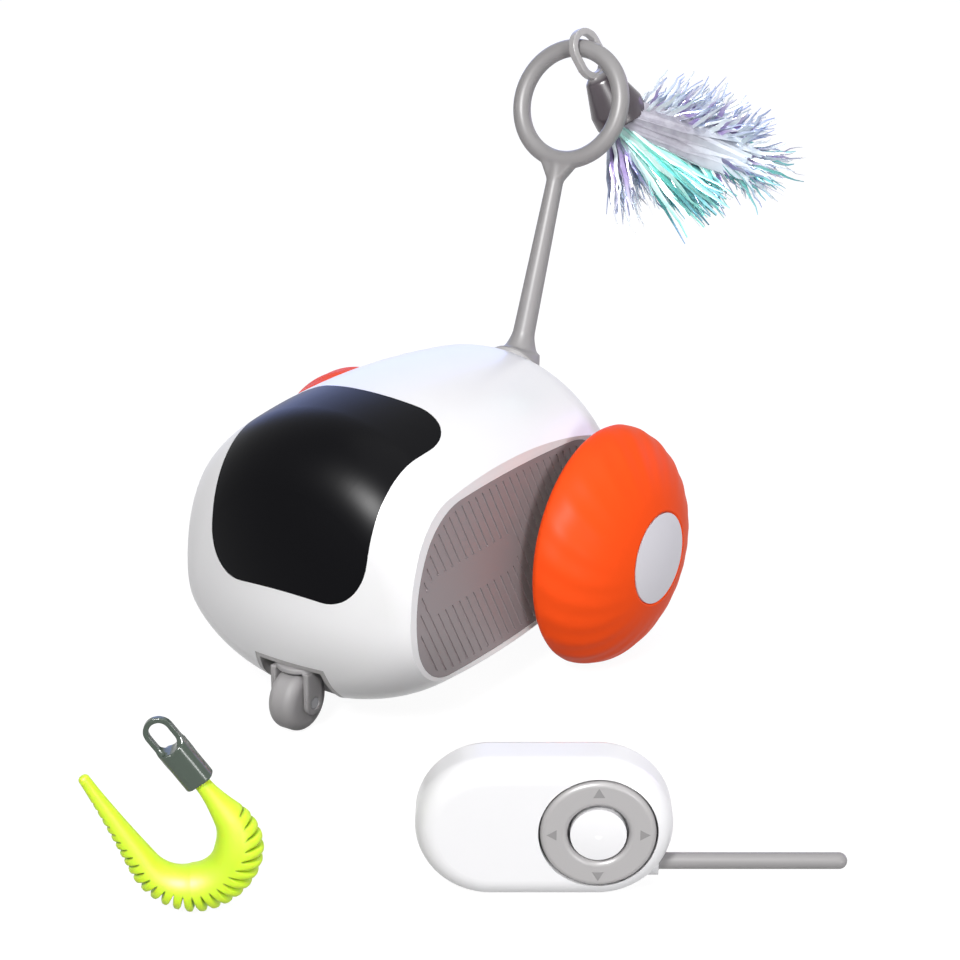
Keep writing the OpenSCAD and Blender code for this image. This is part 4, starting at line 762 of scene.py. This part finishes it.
class Plume:
    """Lays foil strips at the clip's mouth, along the plume's own way, its rise and its front."""

    def __init__(self, form, strip):
        eye, axis, way = lure_way()
        bend_side = math.cos(form.bend_to) * axis.cross(way) + math.sin(form.bend_to) * axis
        self.form, self.strip = form, strip
        self.clip_way, self.mouth = way, eye + form.mouth * way
        self.way = math.cos(form.bend) * way + math.sin(form.bend) * bend_side
        self.rise = (UP - self.way.z * self.way).normalized()
        self.front = self.way.cross(self.rise)
        if self.front.y > 0:
            self.front.negate()
        self.chance = random.Random(form.seed)
        self.strips = []

    def around(self, turn):
        """Across the plume: 0 is its rise, a quarter turn its front."""
        return math.cos(turn) * self.rise + math.sin(turn) * self.front

    def lay(self, root, heading, size, wide, face, sway, crinkle, tints):
        """A copy of the strip from root along heading, with its flat side to face and a tint along it."""
        mesh = self.strip.data.copy()
        tint = mesh.attributes.new("tint", "FLOAT_COLOR", "POINT")
        across = heading.cross(face).normalized()
        face = across.cross(heading)
        phase = self.chance.uniform(0, math.tau)
        for vertex in mesh.vertices:
            x, y, t = vertex.co
            wave = crinkle * t * math.sin(CRINKLE_TURN * t + phase)
            spot = root + size * t * heading + sway * t * t + wave * (across + CRINKLE_FLAT * face)
            vertex.co = spot + wide * x * across + self.form.foil * y * face
            half = min(1, int(2 * t))
            tone = tint_between(tints[half], tints[half + 1], 2 * t - half)
            tint.data[vertex.index].color = (*tone, 1)
        obj = bpy.data.objects.new("foil", mesh)
        bpy.context.scene.collection.objects.link(obj)
        self.strips.append(obj)

    def lay_films(self, tints):
        """Broad films side by side over the top and the front of the plume."""
        draw = self.chance.uniform
        for step in range(self.form.films):
            part = step / self.form.films
            face = self.around(math.radians(FILM_FROM + FILM_SWEEP * part))
            root = self.mouth + FILM_OUT * self.form.root_r * face
            heading = (self.way + draw(*FILM_TILT) * self.rise).normalized()
            size = self.form.reach * draw(*FILM_LENGTH)
            self.lay(root, heading, size, draw(*FILM_WIDTH) * MM, face, Vector(), 0, tints)

    def grow(self, number, lean, turn, size, wide, tints, start=(0, 0), crinkle=0.4 * MM):
        """Strands whose lean, turn, length, width and start along the plume are drawn between limits."""
        draw = self.chance.uniform
        for _ in range(number):
            out = self.around(draw(*turn))
            tilt = draw(*lean)
            along = draw(*start)
            heading = (math.cos(tilt) * self.way + math.sin(tilt) * out).normalized()
            first = (heading + ROOT_PULL * (self.clip_way - self.way)).normalized()
            place = self.form.root_r * math.sqrt(draw(*ROOT_AREA)) * out
            place -= place.dot(self.clip_way) * self.clip_way
            shrink = 1 - NARROWING * along / self.form.reach
            root = self.mouth + shrink * place + along * self.way
            face = self.around(draw(0, math.tau))
            sway = Vector((draw(*LEVEL_SWAY), draw(*LEVEL_SWAY), draw(*UPRIGHT_SWAY)))
            swing = SWAY * sway + ROOT_SWING * (heading - first)
            tone = self.chance.choice(tints)
            long, broad, crinkled = draw(*size), draw(*wide), crinkle * draw(*CRINKLE_SPREAD)
            self.lay(root, first, long, broad, face, swing, crinkled, tone)


def foil_finish():
    """Foil whose tint comes from the strip, with a painted glint, a painted highlight that drifts along it.
    """
    material = new_finish("Tinsel foil", tone=(0.5, 0.6, 0.7), rough=0.28, spread=0.25, grain=900.0,
                          bump=0.12, Metallic=0.3)
    painted_glint_scale, painted_glint_share = 420.0, 0.32
    tree = material.node_tree
    tint = tree.nodes.new("ShaderNodeAttribute")
    tint.attribute_name = "tint"
    # A painted highlight: noise lightens the tint towards near-white glints
    painted_glint = noise_node(tree, painted_glint_scale)
    lift = math_node(tree, "MULTIPLY", painted_glint.outputs["Fac"], painted_glint_share)
    pale = colour_mix(tree, lift, tint.outputs["Color"], PAINTED_GLINT_TONE)
    tree.links.new(pale, shader_of(material).inputs["Base Color"])
    return material


class CATTOY_OT_tinsel(Operator):
    """Models the tinsel plume from one foil strip, copied for films, long strips and fringe"""

    bl_idname = "cattoy.tinsel"
    bl_label = "Tinsel"

    def execute(self, context):
        form = settings("tinsel")
        strip = foil_strip("foil_strip", STRIP_SEGMENTS)
        plume = Plume(form, strip)
        self.fill_plume(plume, form, settings("colours"))
        select_only(*plume.strips)
        bpy.ops.object.join()
        tinsel = named_new("tinsel_plume")
        bpy.data.objects.remove(strip)
        select_only(tinsel)
        bpy.ops.object.shade_smooth_by_angle(angle=math.radians(40))
        stands_for(tinsel, foil_finish(), "lure", "tinsel_aqua", "tinsel")
        return {"FINISHED"}

    def fill_plume(self, plume, form, tones):
        """Films, long strips and fringe, each with tints at the root, the middle and the tip."""
        bright = tint_between(tones.aqua, WHITE, amount=0.55)
        teal = tint_between(tones.aqua, tones.blue, amount=0.55)
        soft = tint_between(tones.pale, WHITE, amount=0.35)
        aqua = (bright, tones.aqua, teal)
        pale_aqua = (bright, bright, tones.aqua)
        silver = (soft, tones.pale, tones.blue)
        frost = (soft, soft, tones.pale)
        violet = (tones.lilac, tones.purple, soft)
        plume.lay_films((tones.lilac, tones.lilac, tones.pale))
        half = math.pi / 2
        plume.grow(form.strips, lean=(0.12, 0.52), turn=(half + 0.3, math.pi + 0.6), size=in_mm(30, 38),
                   wide=in_mm(1.4, 2.6), tints=(aqua, aqua, pale_aqua))
        plume.grow(form.hanging, lean=(0.6, 1.15), turn=(math.pi - half / 2, math.pi + half / 2),
                   size=in_mm(19, 29), wide=in_mm(0.8, 1.4), tints=(violet, violet, silver, frost),
                   crinkle=0.6 * MM)
        plume.grow(form.feather, lean=(0.6, 1.35), turn=(-1.7, 0.5), size=in_mm(12, 19),
                   wide=in_mm(0.9, 1.6), tints=(silver, frost, silver, violet), start=in_mm(1, 31),
                   crinkle=0.35 * MM)
        plume.grow(form.ends, lean=(0.05, 0.7), turn=(0, math.tau), size=in_mm(10, 16),
                   wide=in_mm(0.9, 1.5), tints=(silver, frost, violet, aqua), start=in_mm(27, 36))
        plume.grow(form.under, lean=(0.45, 0.95), turn=(math.pi - 0.9, math.pi + half), size=in_mm(12, 19),
                   wide=in_mm(0.8, 1.5), tints=(aqua, silver, pale_aqua, frost), start=in_mm(4, 26))


# Worm lure

WORM_SIDES = 40
# Rings on the neck, as shares of its length, and in each rib, with those that are slotted
NECK_PARTS = (0.2, 0.45, 0.7, 0.9)
RIB_PARTS = ((0.08, False), (0.15, True), (0.25, True), (0.32, False), (0.66, False))
# Rings that round the tip, as length past the end and share of the radius
TIP_ROUND = ((0, 1), (0.45 * MM, 0.7), (0.6 * MM, 0.3))
# Length at the tip without slots
BARE_TIP = 6 * MM


class CATTOY_OT_worm(Operator):
    """Models the ribbed rubber worm, and softens and thins its clip"""

    bl_idname = "cattoy.worm"
    bl_label = "Worm lure"

    def execute(self, context):
        tones, form = settings("colours"), settings("worm")
        worm = ribbed_worm(form)
        stands_for(worm, slot_painted_shade_finish(tones.worm), "worm", "worm_neon", "worm_tail")
        clip = softened_copy("worm_clip", "worm_clip_gloss", voxel=0.2 * MM, passes=16)
        thin_eye(clip, form)
        gloss = new_finish("Worm clip gloss", tones.worm_clip, rough=0.22, spread=0.15, grain=900.0,
                           bump=0.06)
        stands_for(clip, gloss, "worm", "worm_clip_dark", "worm_clip")
        return {"FINISHED"}


def slot_painted_shade_finish(tone):
    """Soft rubber with painted shade down in the slots, which the mesh marks with its own attribute."""
    painted_slot_shade = 0.45
    material = new_finish("Worm rubber", tone, rough=0.5, spread=0.1, grain=1300.0, bump=0.05, drift=0.3,
                          shade=0.85, Subsurface_Weight=0.2, Subsurface_Scale=1.5 * MM)
    # The slot attribute darkens the colour: painted shade in the slots
    slot = material.node_tree.nodes.new("ShaderNodeAttribute")
    slot.attribute_name = "slot"
    blend_base(material, slot.outputs["Fac"], scaled(tone, painted_slot_shade))
    return material


def worm_girth(form, whole, s):
    """Radius along the worm: the neck swells to full girth, then thins to the tip."""
    taper = 1.4
    if s < form.full_from:
        swell = (s + form.neck_length) / (form.full_from + form.neck_length)
        return form.neck + (form.girth - form.neck) * (1 - math.cos(math.pi * max(0, swell))) / 2
    left = 1 - max(0, s - form.full_to) / (whole - form.full_to)
    return form.tip + (form.girth - form.tip) * max(0, left) ** taper


def slot_share(whole, s):
    """How far a slot cuts in, as a share of the radius: less at the shoulder and towards the tip."""
    at_shoulder, deepest, at_tip = 0.25, 1.05, 0.4
    deepening, fading, end = 16 * MM, 22 * MM, whole - 9 * MM
    return min(deepest, at_shoulder + s / deepening) * min(1, max(0, (end - s) / fading) + at_tip)


def ribbed_worm(form):
    """A straight ribbed body of rings, slotted on its outer side, then laid round its bend."""
    near = 0.01 * MM
    whole = form.bend * form.sweep + form.tail
    clip_end = -form.neck_length
    stations = [(clip_end - form.plug, form.neck), (clip_end, form.neck)]
    for part in NECK_PARTS:
        s = clip_end * (1 - part)
        stations.append((s, worm_girth(form, whole, s)))
    slots = []
    pitch = whole / form.ribs
    for rib in range(form.ribs):
        for part, slotted in RIB_PARTS:
            s = pitch * (rib + part)
            if slotted and s < whole - BARE_TIP:
                slots.append(len(stations))
            stations.append((s, worm_girth(form, whole, s)))
    stations += [(whole + past, left * form.tip) for past, left in TIP_ROUND]
    worm = ring_stack("worm_body", WORM_SIDES, stations)
    # The slot attribute marks the slotted vertices, where the finish paints shade
    worm.data.attributes.new("slot", "FLOAT", "POINT")
    # The outer side of the bend is +Y until the body is laid round it
    for ring in slots:
        s, wide = stations[ring]
        floor = wide * (1 - slot_share(whole, s))
        own = range(ring * WORM_SIDES, (ring + 1) * WORM_SIDES)
        pick_vertices(worm, lambda v: v.index in own and v.co.y > floor)
        bpy.ops.transform.resize(value=(1, 0, 1), center_override=(0, floor, s))
        set_mode("OBJECT")
        mark = worm.data.attributes["slot"]
        for index in own:
            mark.data[index].value = float(worm.data.vertices[index].co.y > floor - near)
    for end in (0, len(stations) - 1):
        own = range(end * WORM_SIDES, (end + 1) * WORM_SIDES)
        pick_vertices(worm, lambda v: v.index in own)
        bpy.ops.mesh.edge_face_add()
    set_mode("OBJECT")
    lay_round_bend(worm, form)
    close_up(worm)
    subdivide_smooth(worm, 1)
    return worm


def worm_axes(form):
    """The middle of the bend, and the level and crossing directions of the worm's plane."""
    level = Vector((math.cos(form.turn), math.sin(form.turn), 0))
    return Vector(form.place) + (form.bend + form.girth) * UP, level, level.cross(UP)


def thin_eye(clip, form):
    """Thins the clip's eye plate across the worm's plane, blended in over a millimetre."""
    centre, level, through = worm_axes(form)
    along = math.cos(form.start) * UP - math.sin(form.start) * level
    for vertex in clip.data.vertices:
        past = (vertex.co - centre).dot(along) - form.eye_from
        keep = 1 - (1 - form.eye_thin) * min(1, max(0, past / MM))
        vertex.co -= (1 - keep) * (vertex.co - centre).dot(through) * through


def lay_round_bend(worm, form):
    """Carries the straight body, along Z, round the upright bend and out along the tail."""
    arc = form.bend * form.sweep
    centre, level, through = worm_axes(form)
    for vertex in worm.data.vertices:
        x, y, s = vertex.co
        at = form.start - min(max(s, 0), arc) / form.bend
        out = math.cos(at) * level + math.sin(at) * UP
        way = math.sin(at) * level - math.cos(at) * UP
        past = s if s < 0 else max(0, s - arc)
        vertex.co = centre + (form.bend + y) * out + past * way + x * through


# Handset marks

MARK_COUNT = 4
MARK_SIZE, MARK_THICKNESS, MARK_BEVEL = 1.55 * MM, 0.12 * MM, 0.06 * MM
# Middle of the ring to a mark, and how far the mark is sunk in
MARK_REACH, MARK_SUNK = 10.1 * MM, 0.05 * MM
MARK_SHADE = 0.62


class CATTOY_OT_marks(Operator):
    """Models the four plain arrow marks on the direction ring"""

    bl_idname = "cattoy.marks"
    bl_label = "Ring marks"

    def execute(self, context):
        out = -joint_axis("button_press")
        across = joint_axis("ring_rock_along")
        middle = joint_place("ring_rock_along")
        top = max((vertex.co - middle).dot(out) for vertex in NODES["direction_ring"].data.vertices)
        dark = new_finish("Mark grey", scaled(settings("colours").trim, MARK_SHADE), rough=0.5)
        marks = []
        for step in range(MARK_COUNT):
            mark = self.arrow(f"ring_mark_{step}")
            way = across.copy()
            way.rotate(Matrix.Rotation(step * math.tau / MARK_COUNT, 3, out))
            spot = middle + MARK_REACH * way + (top - MARK_SUNK) * out
            settle(mark, frame_matrix(spot, way.cross(out), way, out))
            marks.append(mark)
        select_only(*marks)
        bpy.ops.object.join()
        stands_for(named_new("ring_marks"), dark, "ring", "trim_grey")
        return {"FINISHED"}

    def arrow(self, name):
        select_only()
        bpy.ops.mesh.primitive_circle_add(vertices=3, radius=MARK_SIZE, fill_type="NGON")
        mark = named_new(name)
        edit_all(mark)
        bpy.ops.mesh.extrude_region_move(TRANSFORM_OT_translate={"value": (0, 0, MARK_THICKNESS)})
        bpy.ops.mesh.select_all(action="SELECT")
        bpy.ops.mesh.normals_make_consistent()
        bpy.ops.mesh.bevel(offset=MARK_BEVEL, segments=2, affect="EDGES")
        set_mode("OBJECT")
        return mark


# Stage

SENSOR_WIDTH = 36
NEAR_CLIP = 0.01
FLOOR_SIZE, FLOOR_CUTS = 6, 4
FLOOR_TONE, FLOOR_GLOW = (0.14, 0.14, 0.14, 1), 0.94
# Lamps as name, place, width in metres, setting for the power and tint
LAMPS = (
    ("key_lamp", (0.22, -0.76, 0.63), 0.2, "key", (1.0, 0.985, 0.97)),
    ("gloss_card", (0.24, -0.83, 0.69), 0.36, "gloss", WHITE),
    ("top_lamp", (0.25, 0.1, 0.95), 0.9, "top", WHITE),
    ("side_lamp", (0.9, -0.5, 0.17), 0.3, "side", WHITE),
    ("violet_lamp", (0.3, 0.9, 0.25), 0.35, "violet", (0.55, 0.35, 1.0)),
    ("blue_lamp", (-0.62, 0.66, 0.3), 0.7, "blue", (0.1, 0.25, 1.0)),
)


def path_mix(tree, seen, lit):
    """Mixes two shaders: seen for camera, glossy and transmission rays, lit for all others."""
    path = tree.nodes.new("ShaderNodeLightPath")
    first = math_node(tree, "MAXIMUM", path.outputs["Is Camera Ray"], path.outputs["Is Glossy Ray"])
    either = math_node(tree, "MAXIMUM", first, path.outputs["Is Transmission Ray"])
    mix = tree.nodes.new("ShaderNodeMixShader")
    for socket, value in zip(mix.inputs, (either, lit, seen)):
        tree.links.new(value, socket)
    return mix.outputs[0]


class CATTOY_OT_stage(Operator):
    """Sets the camera, the pale floor, the white background and the lamps"""

    bl_idname = "cattoy.stage"
    bl_label = "Stage"

    def execute(self, context):
        form = settings("stage")
        target = Vector(form.target)
        a, e = form.azimuth, form.elevation
        back = Vector((math.sin(a) * math.cos(e), -math.cos(a) * math.cos(e), math.sin(e)))
        select_only()
        bpy.ops.object.camera_add(location=target + form.distance * back)
        camera = bpy.context.object
        camera.name = "photo_camera"
        camera.rotation_euler = back.to_track_quat("Z", "Y").to_euler()
        camera.data.lens = form.lens
        camera.data.sensor_width = SENSOR_WIDTH
        camera.data.clip_start = NEAR_CLIP
        context.scene.camera = camera
        self.make_floor()
        self.make_world(form)
        for name, place, size, power, tint in LAMPS:
            lamp = self.add_lamp(name, place, size, getattr(form, power), tint, target)
            lamp.visible_diffuse = power != "gloss"
        context.scene.view_settings.view_transform = "Standard"
        return {"FINISHED"}

    def make_floor(self):
        """A matt floor that glows almost white in the picture but lights nothing."""
        select_only()
        bpy.ops.mesh.primitive_plane_add(size=FLOOR_SIZE)
        floor = named_new("stage_floor")
        edit_all(floor)
        bpy.ops.mesh.subdivide(number_cuts=FLOOR_CUTS)
        set_mode("OBJECT")
        material = bpy.data.materials.new("Stage floor")
        material.use_nodes = True
        tree = material.node_tree
        shader = shader_of(material)
        set_inputs(shader, {"Base Color": FLOOR_TONE, "Roughness": 1.0, "Specular IOR Level": 0.0})
        glow = tree.nodes.new("ShaderNodeEmission")
        set_inputs(glow, {"Strength": FLOOR_GLOW})
        both_parts = tree.nodes.new("ShaderNodeAddShader")
        tree.links.new(shader.outputs[0], both_parts.inputs[0])
        tree.links.new(glow.outputs[0], both_parts.inputs[1])
        end = tree.nodes["Material Output"]
        tree.links.new(path_mix(tree, both_parts.outputs[0], shader.outputs[0]), end.inputs["Surface"])
        floor.data.materials.append(material)

    def make_world(self, form):
        """White where it is seen, and an even fill light for all else."""
        world = bpy.data.worlds.new("Studio")
        bpy.context.scene.world = world
        world.use_nodes = True
        tree = world.node_tree
        lit = tree.nodes["Background"]
        set_inputs(lit, {"Color": (*WHITE, 1), "Strength": form.fill})
        seen = tree.nodes.new("ShaderNodeBackground")
        set_inputs(seen, {"Color": (*WHITE, 1)})
        end = tree.nodes["World Output"]
        tree.links.new(path_mix(tree, seen.outputs[0], lit.outputs[0]), end.inputs["Surface"])

    def add_lamp(self, name, place, size, power, tint, target):
        select_only()
        bpy.ops.object.light_add(type="AREA", location=place)
        lamp = bpy.context.object
        lamp.name = name
        lamp.rotation_euler = (Vector(place) - target).to_track_quat("Z", "Y").to_euler()
        lamp.data.shape = "DISK"
        lamp.data.size = size
        lamp.data.energy = power
        lamp.data.color = tint
        return lamp


# Panel and registration

PIECES = (CATTOY_OT_body, CATTOY_OT_works, CATTOY_OT_tyres, CATTOY_OT_mast, CATTOY_OT_tinsel,
          CATTOY_OT_worm, CATTOY_OT_marks, CATTOY_OT_stage)
GROUPS = {"colours": CatToyColours, "tyre": CatToyTyre, "tinsel": CatToyTinsel, "worm": CatToyWorm,
          "stage": CatToyStage}


class CATTOY_PT_panel(Panel):
    """Lists the pieces and the settings of the cat toy car"""

    bl_idname = "CATTOY_PT_panel"
    bl_label = "Cat toy car"
    bl_space_type = "VIEW_3D"
    bl_region_type = "UI"
    bl_category = "Cat toy"

    def draw(self, context):
        for piece in PIECES:
            self.layout.operator(piece.bl_idname)
        for group in GROUPS:
            for key in settings(group).bl_rna.properties.keys():
                if key not in ("rna_type", "name"):
                    self.layout.prop(settings(group), key)


def register():
    for group, kind in GROUPS.items():
        bpy.utils.register_class(kind)
        setattr(bpy.types.Scene, "cat_toy_" + group, PointerProperty(type=kind))
    for kind in (*PIECES, CATTOY_PT_panel):
        bpy.utils.register_class(kind)


def unregister():
    for kind in (CATTOY_PT_panel, *reversed(PIECES)):
        bpy.utils.unregister_class(kind)
    for group, kind in GROUPS.items():
        delattr(bpy.types.Scene, "cat_toy_" + group)
        bpy.utils.unregister_class(kind)


def main():
    register()
    for piece in ("stage", "body", "works", "tyres", "mast", "tinsel", "worm", "marks"):
        getattr(bpy.ops.cattoy, piece)()


if __name__ == "__main__":
    main()
